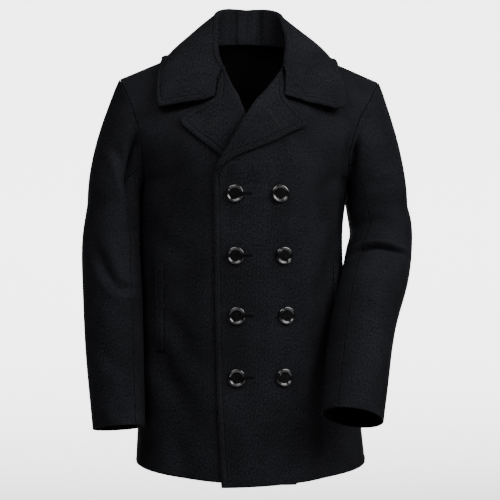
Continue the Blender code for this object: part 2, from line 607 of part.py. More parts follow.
def sleeve(side, name, table, hole, body, materials, creases):
    points, normals, away = hole
    grid = sleeve_grid(side, table, points, away, body)
    face = ring_normals(grid)
    grid[2:] = creased(grid[2:], face[2:], creases)
    grid[2:] = creased(grid[2:], face[2:], SLEEVE_BACK_CREASES, 1, side)
    face[0] = unit(normals + face[1] - SEAM_LEAN * away)
    inner = grid - CLOTH * face
    seams = {
        f"upper_sleeve_{name}": list(range(UNDER_TO, len(points))) + list(range(UNDER_FROM + 1)),
        f"under_sleeve_{name}": list(range(UNDER_FROM, UNDER_TO + 1)),
    }
    for node, columns in seams.items():
        sides = ("first_column", "last_column")
        outer, under = (tuck(face[:, columns], sides, GAP) for face in (grid, inner))
        wall(node, outer, under, materials["melton"])


# ---- collar and lapels --------------------------------------------------------------------

def roll_profile(radius, turn):
    """How far a cloth's middle has gone back and up, round a roll, at an angle of its turn."""
    return -radius * math.sin(turn), radius * (1 - math.cos(turn))


def collar(body, materials):
    """The stand, the roll and the fall, in sections from one gorge round the back to the other."""
    table = np.array([s[1:] for s in COLLAR_SECTIONS])
    at = [s.at for s in COLLAR_SECTIONS]
    half = spline(at, table, np.linspace(0, 1, COLLAR_HALF_STEPS))
    mirrored = half * np.tile([-1, 1, 1], 3)
    shift = RIGHT_GORGE_SHIFT * ramp(np.linspace(0, 1, len(half)), 0.7, 1.0)
    mirrored[:, 6] -= shift
    for part in (mirrored, half):
        part[:, [3, 6]] += COLLAR_SHIFT * (1 - ramp(np.linspace(0, 1, len(half)), 0.55, 0.75))[:, None]
    sections = np.concatenate([mirrored[:0:-1], half])
    seam, roll, edge = sections[:, 0:3], sections[:, 3:6], sections[:, 6:9]
    rows = []
    middle = unit(np.stack([roll[:, 0], roll[:, 1] * NECK_OVAL, np.zeros(len(roll))], axis=1))
    rolled_out = unit((edge - roll) * [1, 1, 0] + ROLL_OUTWARD * middle)
    top = roll.copy()
    stand_top = top - rolled_out * COLLAR_ROLL - [0, 0, COLLAR_ROLL]
    fall_top = top + rolled_out * COLLAR_ROLL - [0, 0, COLLAR_ROLL]
    for i in range(STAND_STEPS):
        rows.append(seam + (stand_top - seam) * i / STAND_STEPS)
    for i in range(ROLL_STEPS + 1):
        turn = math.pi * i / ROLL_STEPS
        rows.append(top - [0, 0, COLLAR_ROLL] - rolled_out * (COLLAR_ROLL * math.cos(turn))
                    + [[0, 0, COLLAR_ROLL * math.sin(turn)]])
    bulge = unit(rolled_out + [0, 0, BELLY_UP])
    for i in range(1, FALL_STEPS + 1):
        t = i / FALL_STEPS
        belly = FALL_BELLY * np.linalg.norm(edge - fall_top, axis=1)[:, None] * 4 * t * (1 - t) * bulge
        rows.append(fall_top + (edge - fall_top) * t + belly)
    grid = np.stack(rows)
    start = STAND_STEPS + ROLL_STEPS
    grid[start:] = kept_clear(grid[start:], body, COLLAR_CLOTH + COLLAR_CLEAR, body_axis)
    normals = grid_normals(grid)
    if normals[-2, len(half)][1] < 0:
        normals = -normals
    under = grid - COLLAR_CLOTH * normals
    rise = kept_clear(under[start:], body, COLLAR_CLEAR, body_axis) - under[start:]
    rise[..., 2] += SHOULDER_RISE * np.exp(-(under[start:, :, 1] / SHOULDER_WIDE) ** 2)
    grid[start:] += rise
    under[start:] += rise
    wall("collar", grid, under, materials["melton"])


def lapel(side, name, rows, tree, materials):
    """A lapel turned out over its front: a half-round roll, then a leaf that settles on the cloth."""
    at = [r.at for r in rows]
    lines = spline(at, [r[1:] for r in rows], np.linspace(0, 1, LAPEL_STEPS), steady=True)
    grid, inner = [], []
    half = COLLAR_CLOTH / 2
    for roll_x, roll_z, edge_x, edge_z, roll in lines:
        row, under = [], []
        base, normal = onto(tree, roll_x, roll_z, 0)
        far, _ = onto(tree, edge_x, edge_z, 0)
        way = unit(far - base)
        set_in = min(LAPEL_SET, LAPEL_SET_SHARE * np.linalg.norm(far - base))
        for turn in LAPEL_ROLL_TURNS:
            back, up = roll_profile(roll, turn)
            spot = base + way * (set_in + back) + normal * (REST + half + up)
            out = -way * math.sin(turn) - normal * math.cos(turn)
            row.append(spot + out * half)
            under.append(spot - out * half)
        for i in range(LAPEL_ACROSS):
            t = i / (LAPEL_ACROSS - 1)
            x = roll_x + (edge_x - roll_x) * t + set_in * (1 - t) * way[0]
            z = roll_z + (edge_z - roll_z) * t + set_in * (1 - t) * way[2]
            height = REST + LAPEL_EDGE_LIFT * t + 2 * roll * (1 - t) ** 1.5
            spot, out = onto(tree, x, z, height)
            row.append(spot + out * COLLAR_CLOTH)
            under.append(spot)
        grid.append(row)
        inner.append(under)
    wall(name, np.array(grid), np.array(inner), materials["melton"])


# ---- trimmings ----------------------------------------------------------------------------

# A button's section: radius and height as shares of its own, from the back's centre to the front's.
BUTTON_SECTION = ((0.62, 0.00), (0.90, 0.22), (1.00, 0.50), (0.95, 0.86), (0.84, 1.00), (0.72, 0.90),
                  (0.64, 0.62))


def button(name, x, z, tree, materials):
    """A turned button with a raised rim and a sunk middle, lying on the left front."""
    place, normal = onto(tree, x, z, 2 * GAP)
    turn = Vector(normal).to_track_quat("Z", "Y")
    points, faces = [], []
    for share, height in BUTTON_SECTION:
        for i in range(BUTTON_SIDES):
            angle = 2 * math.pi * i / BUTTON_SIDES
            points.append((BUTTON_RADIUS * share * math.cos(angle),
                           BUTTON_RADIUS * share * math.sin(angle), BUTTON_DEPTH * height))
    rings = len(BUTTON_SECTION)
    faces += grid_faces(rings, BUTTON_SIDES, 0, ring=True)
    faces.append(tuple(range(BUTTON_SIDES - 1, -1, -1)))
    last = (rings - 1) * BUTTON_SIDES
    faces.append(tuple(range(last, last + BUTTON_SIDES)))
    points = [np.array(turn @ Vector(p)) + place for p in points]
    add_object(name, points, faces, materials["button"], sharp_deg=35)


def welt(side, name, tree, materials):
    """The standing welt over a hand-warmer pocket, a strip that lies on the front."""
    grid, inner = [], []
    for down in np.linspace(0, WELT_LENGTH, WELT_ROWS):
        row, under = [], []
        for across in np.linspace(-WELT_WIDTH / 2, WELT_WIDTH / 2, WELT_COLUMNS):
            spot, out = onto(tree, side * (WELT_X[side] + across), WELT_TOP - down, REST)
            under.append(spot)
            row.append(spot + out * WELT_THICK)
        grid.append(row)
        inner.append(under)
    wall(name, np.array(grid), np.array(inner), materials["melton"])


def back_lining(grids, normals, materials):
    """The lining of the upper back, one cloth thickness inside it."""
    start, stop = row_of_key(6), row_of_key(NAPE_KEY) + 1
    faces = []
    for depth in (CLOTH + REST, CLOTH + REST + LINING):
        right = (grids["back_right"] - depth * normals["back_right"])[start:stop, :-1]
        left = (grids["back_left"] - depth * normals["back_left"])[start:stop, :-1]
        faces.append(np.concatenate([right[:, :0:-1], left], axis=1))
    wall("back_lining", faces[0], faces[1], materials["lining"])


def main():
    for item in list(bpy.data.objects):
        bpy.data.objects.remove(item)
    materials = {
        "melton": cloth_material("melton", (0.011, 0.011, 0.013), 0.92),
        "lining": cloth_material("lining", (0.006, 0.006, 0.007), 0.55),
        "button": cloth_material("button", (0.010, 0.010, 0.011), 0.22),
    }
    grids, normals = body_panels()
    for name in ("front_right", "front_left"):
        outer = grids[name]
        sides = ("last_column", "last_row")
        wall(name, tuck(outer, sides), tuck(outer - CLOTH * normals[name], sides), materials["melton"])
    for name in ("back_right", "back_left"):
        outer = grids[name]
        sides = ("first_column", "last_column", "last_row")
        wall(name, tuck(outer, sides), tuck(outer - CLOTH * normals[name], sides), materials["melton"])
    back_lining(grids, normals, materials)

    body = tree_of(*grids.values())
    for side, name, table, creases in ((1, "left", LEFT_RINGS, LEFT_SLEEVE_CREASES),
                                     (-1, "right", RIGHT_RINGS, RIGHT_SLEEVE_CREASES)):
        hole = armhole(grids[f"front_{name}"], grids[f"back_{name}"],
                       normals[f"front_{name}"], normals[f"back_{name}"])
        sleeve(side, name, table, hole, body, materials, creases)

    left_front, right_front = tree_of(grids["front_left"]), tree_of(grids["front_right"])
    lapel(-1, "lapel_right", RIGHT_LAPEL, right_front, materials)
    lapel(1, "lapel_left", LEFT_LAPEL, left_front, materials)
    collar(body, materials)
    for row, (right_x, left_x, z) in enumerate(BUTTON_ROWS, start=1):
        button(f"button_right_{row}", right_x, z, left_front, materials)
        button(f"button_left_{row}", left_x, z, left_front, materials)
    welt(1, "pocket_welt_left", left_front, materials)
    welt(-1, "pocket_welt_right", right_front, materials)


main()
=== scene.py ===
"""The looks of a double-breasted pea coat in heavy black melton, filled out as worn.

Every cloth piece is a thin shell on the form of its solid, worked out from the same short tables
with many more rows and columns, so that it holds the roll of the lapels, the stitched edges and the
folds. Metres, +Z up, the front faces -Y and the wearer's left is +X.
"""

import math
from collections import namedtuple

import bpy
import numpy as np
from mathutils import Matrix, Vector
from mathutils.bvhtree import BVHTree


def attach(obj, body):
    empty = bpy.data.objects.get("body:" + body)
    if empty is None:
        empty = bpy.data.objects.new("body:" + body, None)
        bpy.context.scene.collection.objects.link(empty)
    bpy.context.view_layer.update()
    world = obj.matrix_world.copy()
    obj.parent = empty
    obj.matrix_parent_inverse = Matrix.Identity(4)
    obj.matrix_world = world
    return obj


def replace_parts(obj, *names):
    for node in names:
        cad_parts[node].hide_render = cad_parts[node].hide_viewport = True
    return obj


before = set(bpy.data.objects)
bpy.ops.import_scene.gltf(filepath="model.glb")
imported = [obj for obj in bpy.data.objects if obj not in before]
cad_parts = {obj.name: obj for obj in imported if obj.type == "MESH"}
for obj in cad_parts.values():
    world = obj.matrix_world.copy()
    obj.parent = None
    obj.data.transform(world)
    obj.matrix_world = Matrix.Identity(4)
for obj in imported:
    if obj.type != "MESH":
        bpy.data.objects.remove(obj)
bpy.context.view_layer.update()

# ---- sizes ----------------------------------------------------------------------------------

CLOTH = 0.0026  # heavy melton
COLLAR_CLOTH = 0.0034  # two layers of melton, pressed together
LINING = 0.0012
LAP = CLOTH + 0.0013  # the lapping front's face stands this far out from the other's
REST = 0.0008  # the air between a piece and the cloth that it lies on
SEAM_SPACE = 0.0002  # between two sewn pieces, on each side

ROUND_EDGE = 0.0011  # how far a folded cloth edge bulges
SEWN_EDGE = 0.0004  # and where it is pressed open at a seam
ROUND_STEPS = 5  # rings of points round an edge
DRAW_LIMIT = 0.8  # an edge is drawn back by at most this share of the way to the next line
STITCH_IN = 0.0088  # the topstitching runs this far inside a finished edge
STITCH_DIP = 0.0015
STITCH_HALF = 0.0012
EDGE_PUFF = 0.0012  # the edge stands up between its fold and the topstitching
STITCH_LONG = 0.0034
STITCH_GAP = 0.0009
STITCH_BOW = 1.2  # how high a stitch bows, in thread radii
STITCH_END = 0.55  # the radius at its ends, as a share of the middle's
THREAD = 0.00035  # the thread's radius
LINE_STEP = 0.0015  # between the points that mark a finished edge

BUTTON_ROWS = ((-0.0428, 0.0356, -0.268), (-0.0416, 0.0419, -0.3745), (-0.0399, 0.0460, -0.4775),
               (-0.0401, 0.0415, -0.5835))  # x of each column, and the height of the row
BUTTON_RADIUS = 0.0155
BUTTON_DEPTH = 0.0052
BUTTON_LIFT = 0.0006  # off the cloth
BLANK_RADIUS, BLANK_DEPTH = 0.97 * BUTTON_RADIUS, 0.72 * BUTTON_DEPTH  # before the steps
# The steps that turn the button's face, from the rim to the middle: each is cut in by a share of
# the radius, or raised by a share of the depth and then widened or narrowed.
BUTTON_STEPS = (("cut_in", 0.03, 1), ("raise", 0.16, 1.02), ("raise", 0.12, 0.93), ("cut_in", 0.10, 1),
                ("raise", -0.16, 0.93), ("raise", -0.22, 0.96), ("cut_in", 0.10, 1), ("cut_in", 0.22, 1))
BUTTON_CROWN = 0.05  # the middle stands up by this share of the depth
BUTTON_BACK_IN = 0.30  # and its back is cut in once, by this share of the radius

WELT_WIDTH = 0.0125
WELT_LENGTH = 0.150
WELT_THICK = 0.0024
WELT_TOP = -0.390
WELT_X = {1: 0.1480, -1: 0.1650}  # left and right
WELT_CROWN = 0.0009
WELT_TACK = 1 / 12  # each end tack pulls the crown down over this share of the length
WELT_STITCH_COLUMN = {1: 3, -1: 12}

VENT_TOP = -0.535
VENT_LAP = 0.034
VENT_BLEND = 0.004
VENT_LIFT_FADE = (0.006, 0.040)

# Ranges over which something rises or falls. The fronts share one face between x and below z.
SHARED_WIDE, SHARED_HIGH = (0.085, 0.135), (-0.140, -0.100)
LAP_WIDE, LAP_HIGH = (0.075, 0.115), (-0.125, -0.085)
OVER_LAPEL = 0.0095  # the left front stands this much further out over the right lapel
OVER_LAPEL_WIDE, OVER_LAPEL_HIGH = (-0.010, 0.045), ((-0.262, -0.215), (-0.140, -0.100))

AXIS_TOP = -0.120  # the body's axis ends here, below the shoulders
ARMPIT_KEY, NAPE_KEY, TOP_KEY = 5, 10, 11
ROWS_PER_KEY = tuple(6 * n for n in (3, 3, 3, 3, 3, 2, 2, 2, 2, 2, 3))
FRONT_COLUMNS = np.concatenate([np.linspace(0, 0.036, 16), np.linspace(0.036, 1, 74)[1:]])
BACK_COLUMNS = np.linspace(0, 1, 64)
LINING_KEY, LINING_SHORT = 6, 3  # the lining's lowest key row, and how many columns it stops short

# Front rows, from the hem to the shoulder seam. lead: the row's first handle; out: where the row
# meets the side seam or armhole; pull: its last handle.
Front = namedtuple("Front", "lead_x lead_y lead_z right_x left_x out_y out_z pull_x pull_y pull_z")
FRONT_ROWS = (
    Front(0.135, -0.004, 0.002, 0.2025, 0.2100, 0.004, -0.742, 0.002, -0.122, -0.010),
    Front(0.135, -0.004, 0.000, 0.1985, 0.1990, 0.004, -0.645, 0.000, -0.120, 0.000),
    Front(0.130, -0.004, 0.000, 0.1970, 0.1830, 0.004, -0.530, 0.000, -0.116, 0.000),
    Front(0.125, -0.004, 0.000, 0.1975, 0.1720, 0.004, -0.420, 0.000, -0.112, 0.000),
    Front(0.125, -0.004, 0.000, 0.1960, 0.1705, 0.003, -0.330, 0.000, -0.108, 0.000),
    Front(0.125, -0.005, 0.000, 0.1925, 0.1810, 0.000, -0.250, 0.000, -0.095, 0.000),
    Front(0.115, -0.006, 0.002, 0.1900, 0.1790, -0.030, -0.239, -0.008, -0.062, 0.000),
    Front(0.100, -0.008, -0.008, 0.1925, 0.1780, -0.052, -0.215, -0.018, -0.050, 0.002),
    Front(0.075, -0.010, -0.012, 0.1985, 0.1800, -0.067, -0.177, -0.034, -0.036, 0.004),
    Front(0.062, -0.012, -0.012, 0.2080, 0.1900, -0.062, -0.134, -0.050, -0.026, 0.006),
    Front(0.055, -0.008, -0.012, 0.2200, 0.2140, -0.042, -0.095, -0.055, -0.014, 0.012),
    Front(0.055, 0.000, -0.014, 0.2320, 0.2380, 0.003, -0.060, -0.055, -0.001, 0.022),
)

# The fronts' inner edges: the front edge up to the break, then the roll line and the neckline.
Edge = namedtuple("Edge", "left_x left_z right_x right_z y")
EDGE_ROWS = (
    Edge(-0.0660, -0.771, 0.0640, -0.768, 0.0),
    Edge(-0.0725, -0.650, 0.0680, -0.648, 0.0),
    Edge(-0.0755, -0.535, 0.0690, -0.532, 0.0),
    Edge(-0.0770, -0.425, 0.0690, -0.425, 0.0),
    Edge(-0.0778, -0.335, 0.0680, -0.335, 0.0),
    Edge(-0.0785, -0.262, 0.0600, -0.262, 0.0),
    Edge(-0.0775, -0.232, 0.0450, -0.222, 0.0),
    Edge(-0.0520, -0.185, 0.0130, -0.175, 0.0),
    Edge(-0.0185, -0.130, -0.0185, -0.131, -0.111),
    Edge(0.0220, -0.083, -0.0400, -0.082, -0.083),
    Edge(0.0575, -0.046, -0.0575, -0.046, -0.053),
    Edge(0.0750, 0.000, -0.0750, 0.000, 0.000),
)

# The front's depth at its middle, which both fronts share where they lap.
FRONT_DEPTH = ((-0.80, 0.1500), (-0.65, 0.1480), (-0.53, 0.1450), (-0.42, 0.1420), (-0.33, 0.1410),
               (-0.25, 0.1390), (-0.19, 0.1300), (-0.13, 0.1120), (-0.08, 0.0900))
FRONT_BOW = 1.75
FRONT_EVENING = 60  # passes that soften the fronts below the armholes
EVENED_KEYS, EVENED_COLUMNS = ((3.5, 4.5), (7.0, 8.5)), ((0.35, 0.60), (0.92, 1.0))

# Back rows: the centre-back point, the handles and the side seam or armhole.
Back = namedtuple("Back", "in_x in_y in_z lead_x lead_y lead_z out_y out_z pull_x pull_y pull_z")
BACK_ROWS = (
    Back(0.000, 0.140, -0.746, 0.110, 0.002, 0.000, 0.004, -0.742, 0.002, 0.085, 0.000),
    Back(0.000, 0.134, -0.645, 0.108, 0.002, 0.000, 0.004, -0.645, 0.000, 0.082, 0.000),
    Back(0.000, 0.122, -0.530, 0.105, 0.002, 0.000, 0.004, -0.530, 0.000, 0.076, 0.000),
    Back(0.000, 0.112, -0.420, 0.100, 0.002, 0.000, 0.004, -0.420, 0.000, 0.072, 0.000),
    Back(0.000, 0.114, -0.330, 0.100, 0.003, 0.000, 0.003, -0.330, 0.000, 0.074, 0.000),
    Back(0.000, 0.121, -0.250, 0.100, 0.004, 0.000, 0.000, -0.250, 0.000, 0.076, 0.000),
    Back(0.000, 0.123, -0.215, 0.095, 0.004, 0.000, 0.030, -0.236, -0.004, 0.052, 0.000),
    Back(0.000, 0.122, -0.175, 0.085, 0.004, 0.000, 0.052, -0.208, -0.014, 0.040, 0.000),
    Back(0.000, 0.118, -0.130, 0.080, 0.004, 0.000, 0.066, -0.168, -0.034, 0.030, 0.002),
    Back(0.000, 0.106, -0.075, 0.075, 0.002, -0.004, 0.062, -0.126, -0.048, 0.022, 0.006),
    Back(0.000, 0.064, 0.014, 0.085, 0.012, -0.018, 0.042, -0.091, -0.050, 0.012, 0.014),
    Back(0.075, 0.000, 0.000, 0.055, 0.000, -0.014, 0.003, -0.060, -0.055, 0.001, 0.022),
)

# Sleeve rings below the cap: the ring's centre, and its half widths across and front to back.
Ring = namedtuple("Ring", "x y z wide deep")
RIGHT_RINGS = (
    Ring(-0.2416, 0.002, -0.282, 0.0480, 0.080),
    Ring(-0.2470, -0.008, -0.355, 0.0525, 0.077),
    Ring(-0.2450, -0.024, -0.440, 0.0535, 0.073),
    Ring(-0.2430, -0.046, -0.545, 0.0512, 0.067),
    Ring(-0.2370, -0.070, -0.674, 0.0460, 0.060),
)
LEFT_RINGS = (
    Ring(0.2332, 0.000, -0.282, 0.0552, 0.080),
    Ring(0.2392, -0.012, -0.338, 0.0560, 0.078),
    Ring(0.2215, -0.046, -0.405, 0.0615, 0.072),
    Ring(0.1880, -0.112, -0.490, 0.0572, 0.060),
    Ring(0.1670, -0.161, -0.570, 0.0560, 0.053),
    Ring(0.1500, -0.202, -0.648, 0.0538, 0.042),
)
CAP_STEPS = 40
RING_STEPS = {4: 36, 5: 30}
CAP_LEAVE, CAP_ARRIVE = 0.30, 0.32  # the cap's two handles, as shares of its length
CAP_FULL = 0.008  # how far the cap stands out beyond its seam
SLEEVE_CLEAR = 0.006
UNDERARM_CLEAR = 0.0014  # the sleeve presses closer to the body under the arm
CLEAR_AGAIN = 0.6  # the share of that space that is kept once the sleeve has been evened
BESIDE = 0.0015  # a point further than this to the side of a face is not pushed off it
SLEEVE_EVENING = 10
SEAM_LEAN = 0.5  # how far the cap's edge turns in towards the armhole
UNDER_FROM, UNDER_TO = 54, 90  # the columns of the sleeve's ring between its two seams

# Collar sections, from the centre back to the end at the gorge: the neck seam, the roll (the
# fold's top), and the outer edge of the fall.
Section = namedtuple("Section", "at seam_x seam_y seam_z roll_x roll_y roll_z edge_x edge_y edge_z")
COLLAR_SECTIONS = (
    Section(0.00, 0.0000, 0.0545, 0.0115, 0.0000, 0.0640, 0.0760, 0.0000, 0.0980, -0.0170),
    Section(0.15, 0.0268, 0.0497, 0.0103, 0.0320, 0.0570, 0.0770, 0.0650, 0.0900, -0.0180),
    Section(0.30, 0.0500, 0.0350, 0.0066, 0.0560, 0.0370, 0.0685, 0.1220, 0.0600, -0.0240),
    Section(0.45, 0.0650, 0.0066, -0.0005, 0.0630, 0.0080, 0.0440, 0.1515, 0.0100, -0.0300),
    Section(0.60, 0.0670, -0.0200, -0.0150, 0.0655, -0.0190, 0.0140, 0.1590, -0.0450, -0.0580),
    Section(0.72, 0.0615, -0.0370, -0.0310, 0.0630, -0.0370, -0.0120, 0.1600, -0.0860, -0.1050),
    Section(0.80, 0.0560, -0.0450, -0.0400, 0.0600, -0.0470, -0.0250, 0.1480, -0.0930, -0.1150),
    Section(0.90, 0.0540, -0.0510, -0.0450, 0.0580, -0.0540, -0.0330, 0.1000, -0.0960, -0.1070),
    Section(1.00, 0.0510, -0.0550, -0.0490, 0.0535, -0.0600, -0.0390, 0.0487, -0.0840, -0.1010),
)
COLLAR_HALF_STEPS = 150
COLLAR_SHIFT = 0.0035  # the collar sits this much to the wearer's left behind the shoulders
COLLAR_SHIFT_ENDS = (0.55, 0.75)
RIGHT_GORGE_SHIFT = 0.0220  # the right end of the fall lies this much further out
RIGHT_GORGE_FROM = 0.7
RIGHT_SPREAD = 0.0140  # the right half lies this much wider over the shoulder
RIGHT_SPREAD_AT = ((0.40, 0.62), (0.82, 0.94))
STAND_DENTS = (-0.020, 0.026)  # x of the two soft dents in the back of the stand
DENT_DEPTH, DENT_HALF = 0.0065, 0.0060
DENT_FADE = (14, 20)  # the rows of the stand and roll over which they end
DENTS_BEHIND = 0.010  # only the cloth behind this y is dented
STAND_STEPS, ROLL_STEPS = 12, 10
COLLAR_FALL = np.concatenate([np.linspace(0, 0.84, 28), np.linspace(0.84, 1, 18)[1:]])
COLLAR_ROLL = 0.0060  # radius of the fold
NECK_OVAL = 0.8  # how much less the roll leans out to front and back than to the sides
ROLL_OUTWARD = 0.10
FALL_BELLY, BELLY_UP = 0.10, 0.6  # the fall's bulge, as a share of its length, and its lift
COLLAR_CLEAR = 0.0020
COLLAR_STAND_OFF = 0.0060  # the fall's edge stands off the fronts
STAND_OFF_FALL, STAND_OFF_HALF = (0.45, 1.0), (0.58, 0.76)
SHOULDER_RISE, SHOULDER_WIDE = 0.0030, 0.032  # the fall arches over the shoulder seams

# Lapel sections, from the gorge to the break: the roll line, the outer edge and the roll's radius.
Lapel = namedtuple("Lapel", "at roll_x roll_z edge_x edge_z roll")
LEFT_LAPEL = (
    Lapel(0.00, 0.0500, -0.0500, 0.0508, -0.0620, 0.0036),
    Lapel(0.20, 0.0390, -0.0640, 0.0480, -0.1010, 0.0036),
    Lapel(0.30, 0.0300, -0.0755, 0.0630, -0.1220, 0.0036),
    Lapel(0.42, 0.0160, -0.0920, 0.0840, -0.1460, 0.0036),
    Lapel(0.56, 0.0000, -0.1080, 0.0560, -0.1620, 0.0036),
    Lapel(0.72, -0.0240, -0.1380, 0.0060, -0.1850, 0.0034),
    Lapel(0.86, -0.0480, -0.1760, -0.0340, -0.2010, 0.0032),
    Lapel(0.93, -0.0625, -0.2000, -0.0550, -0.2120, 0.0026),
    Lapel(1.00, -0.0750, -0.2250, -0.0745, -0.2275, 0.0014),
)
RIGHT_LAPEL = (
    Lapel(0.00, -0.0530, -0.0480, -0.0620, -0.0620, 0.0036),
    Lapel(0.24, -0.0420, -0.0800, -0.0697, -0.1000, 0.0034),
    Lapel(0.34, -0.0375, -0.0890, -0.1003, -0.1200, 0.0032),
    Lapel(0.46, -0.0325, -0.0980, -0.1315, -0.1425, 0.0030),
    Lapel(0.62, -0.0290, -0.1070, -0.1160, -0.1610, 0.0028),
    Lapel(0.82, -0.0240, -0.1210, -0.0840, -0.1865, 0.0025),
    Lapel(1.00, -0.0190, -0.1330, -0.0560, -0.2120, 0.0024),
)
LAPEL_STEPS = 130
LAPEL_TURNS = np.linspace(0.40, 0.92, 8) * math.pi  # about the roll, 0 being its foot
LAPEL_LEAF = np.concatenate([np.linspace(0, 0.70, 30), np.linspace(0.70, 1, 34)[1:]])
LAPEL_EDGE_LIFT = 0.0028
LAPEL_LIFT_ENDS = (1 / 5, 1 / 3)  # the shares of its length over which the lift comes and goes
LAPEL_SETTLES = 1.5  # how steeply the leaf comes down from the roll
LAPEL_SET, LAPEL_SET_SHARE = 0.004, 0.25  # the roll sits in from its line, at most by this share
NEAR = 0.010  # normals are averaged over places this far apart
AROUND = ((0, 0), (NEAR, 0), (-NEAR, 0), (0, NEAR), (0, -NEAR))

# Creases in the hang of the cloth, seen from the front or the back: points (x, z) along the crease,
# its half width, its depth (a ridge where negative) and the width of the ridge that runs beside it.
Crease = namedtuple("Crease", "points width depth beside")
CREASE_ENDS, CREASE_FADE = 0.03, 0.7
RIDGE_SHARE = 0.45  # the ridge beside a crease, as a share of its depth
FACING = (0.05, 0.35)  # how far a face has to be turned to the front or back to be creased
RIGHT_FRONT_CREASES = (
    Crease(((-0.160, -0.121), (-0.120, -0.112), (-0.078, -0.102)), 0.0060, 0.0080, 0.000),
    Crease(((-0.176, -0.520), (-0.150, -0.590), (-0.118, -0.665)), 0.017, 0.0100, 0.034),
    Crease(((-0.168, -0.460), (-0.140, -0.500), (-0.098, -0.575)), 0.015, 0.0050, 0.030),
    Crease(((-0.160, -0.630), (-0.140, -0.690), (-0.132, -0.750)), 0.016, 0.0060, 0.030),
    Crease(((-0.140, -0.150), (-0.152, -0.240), (-0.150, -0.330)), 0.020, 0.0045, 0.036),
    Crease(((-0.190, -0.300), (-0.160, -0.350), (-0.120, -0.380)), 0.016, 0.0030, 0.026),
    Crease(((-0.110, -0.200), (-0.100, -0.300), (-0.104, -0.400)), 0.022, 0.0022, 0.000),
)
LEFT_FRONT_CREASES = (
    Crease(((0.177, -0.150), (0.172, -0.190), (0.167, -0.250), (0.163, -0.340)), 0.0090, 0.0130, 0.000),
    Crease(((-0.0500, -0.2190), (-0.0560, -0.2320), (-0.0610, -0.2480)), 0.0040, 0.0040, 0.008),
    Crease(((0.018, -0.200), (0.020, -0.290), (0.014, -0.380)), 0.013, 0.0030, 0.024),
    Crease(((0.040, -0.175), (0.034, -0.215), (0.030, -0.250)), 0.009, 0.0022, 0.016),
    Crease(((0.165, -0.300), (0.140, -0.380), (0.112, -0.460)), 0.018, 0.0060, 0.034),
    Crease(((0.140, -0.240), (0.110, -0.270), (0.080, -0.330)), 0.015, 0.0028, 0.026),
    Crease(((-0.060, -0.250), (-0.055, -0.300), (-0.058, -0.360)), 0.008, 0.0014, 0.014),
    Crease(((0.110, -0.600), (0.122, -0.680), (0.120, -0.750)), 0.018, 0.0050, 0.034),
    Crease(((0.070, -0.560), (0.066, -0.640), (0.070, -0.720)), 0.022, 0.0022, 0.000),
)
BACK_CREASES = (
    Crease(((0.150, -0.220), (0.125, -0.320), (0.105, -0.430)), 0.018, 0.0050, 0.032),
    Crease(((0.160, -0.360), (0.120, -0.390), (0.060, -0.410)), 0.014, 0.0035, 0.024),
    Crease(((0.120, -0.540), (0.130, -0.640), (0.134, -0.740)), 0.020, 0.0060, 0.036),
    Crease(((0.050, -0.120), (0.090, -0.160), (0.130, -0.180)), 0.018, 0.0025, 0.030),
    Crease(((0.060, -0.500), (0.070, -0.620), (0.066, -0.730)), 0.024, 0.0030, 0.000),
)
RIGHT_SLEEVE_CREASES = (
    Crease(((-0.206, -0.158), (-0.210, -0.200), (-0.210, -0.250), (-0.208, -0.330)), 0.0100, 0.0280, 0.000),
    Crease(((-0.288, -0.330), (-0.266, -0.390), (-0.240, -0.428), (-0.206, -0.432)), 0.009, 0.0070, 0.016),
    Crease(((-0.240, -0.345), (-0.222, -0.395), (-0.205, -0.415)), 0.009, 0.0040, 0.015),
    Crease(((-0.252, -0.178), (-0.232, -0.215), (-0.222, -0.262)), 0.009, 0.0050, 0.015),
    Crease(((-0.236, -0.205), (-0.222, -0.250), (-0.215, -0.290)), 0.008, 0.0035, 0.013),
    Crease(((-0.280, -0.520), (-0.250, -0.560), (-0.222, -0.575)), 0.013, 0.0026, 0.022),
    Crease(((-0.262, -0.600), (-0.240, -0.640), (-0.215, -0.650)), 0.012, 0.0022, 0.020),
)
LEFT_SLEEVE_CREASES = (
    Crease(((0.270, -0.374), (0.245, -0.365), (0.215, -0.359), (0.190, -0.364), (0.172, -0.379)),
           0.0034, 0.0125, 0.008),
    Crease(((0.180, -0.148), (0.172, -0.190), (0.166, -0.250), (0.165, -0.330)), 0.0110, 0.0270, 0.000),
    Crease(((0.186, -0.430), (0.208, -0.402), (0.240, -0.393)), 0.008, 0.0030, 0.014),
    Crease(((0.196, -0.330), (0.220, -0.318), (0.250, -0.322)), 0.011, 0.0030, 0.018),
    Crease(((0.196, -0.240), (0.224, -0.250), (0.262, -0.244)), 0.013, 0.0025, 0.022),
    Crease(((0.160, -0.520), (0.182, -0.505), (0.214, -0.512)), 0.012, 0.0025, 0.020),
    Crease(((0.200, -0.600), (0.220, -0.560), (0.230, -0.510)), 0.013, 0.0022, 0.022),
)
SLEEVE_BACK_CREASES = (
    Crease(((0.190, -0.380), (0.230, -0.400), (0.280, -0.395)), 0.012, 0.0045, 0.020),
    Crease(((0.195, -0.430), (0.230, -0.440), (0.270, -0.430)), 0.012, 0.0030, 0.020),
    Crease(((0.240, -0.160), (0.250, -0.240), (0.245, -0.320)), 0.016, 0.0030, 0.026),
)


# ---- curves and surfaces --------------------------------------------------------------------

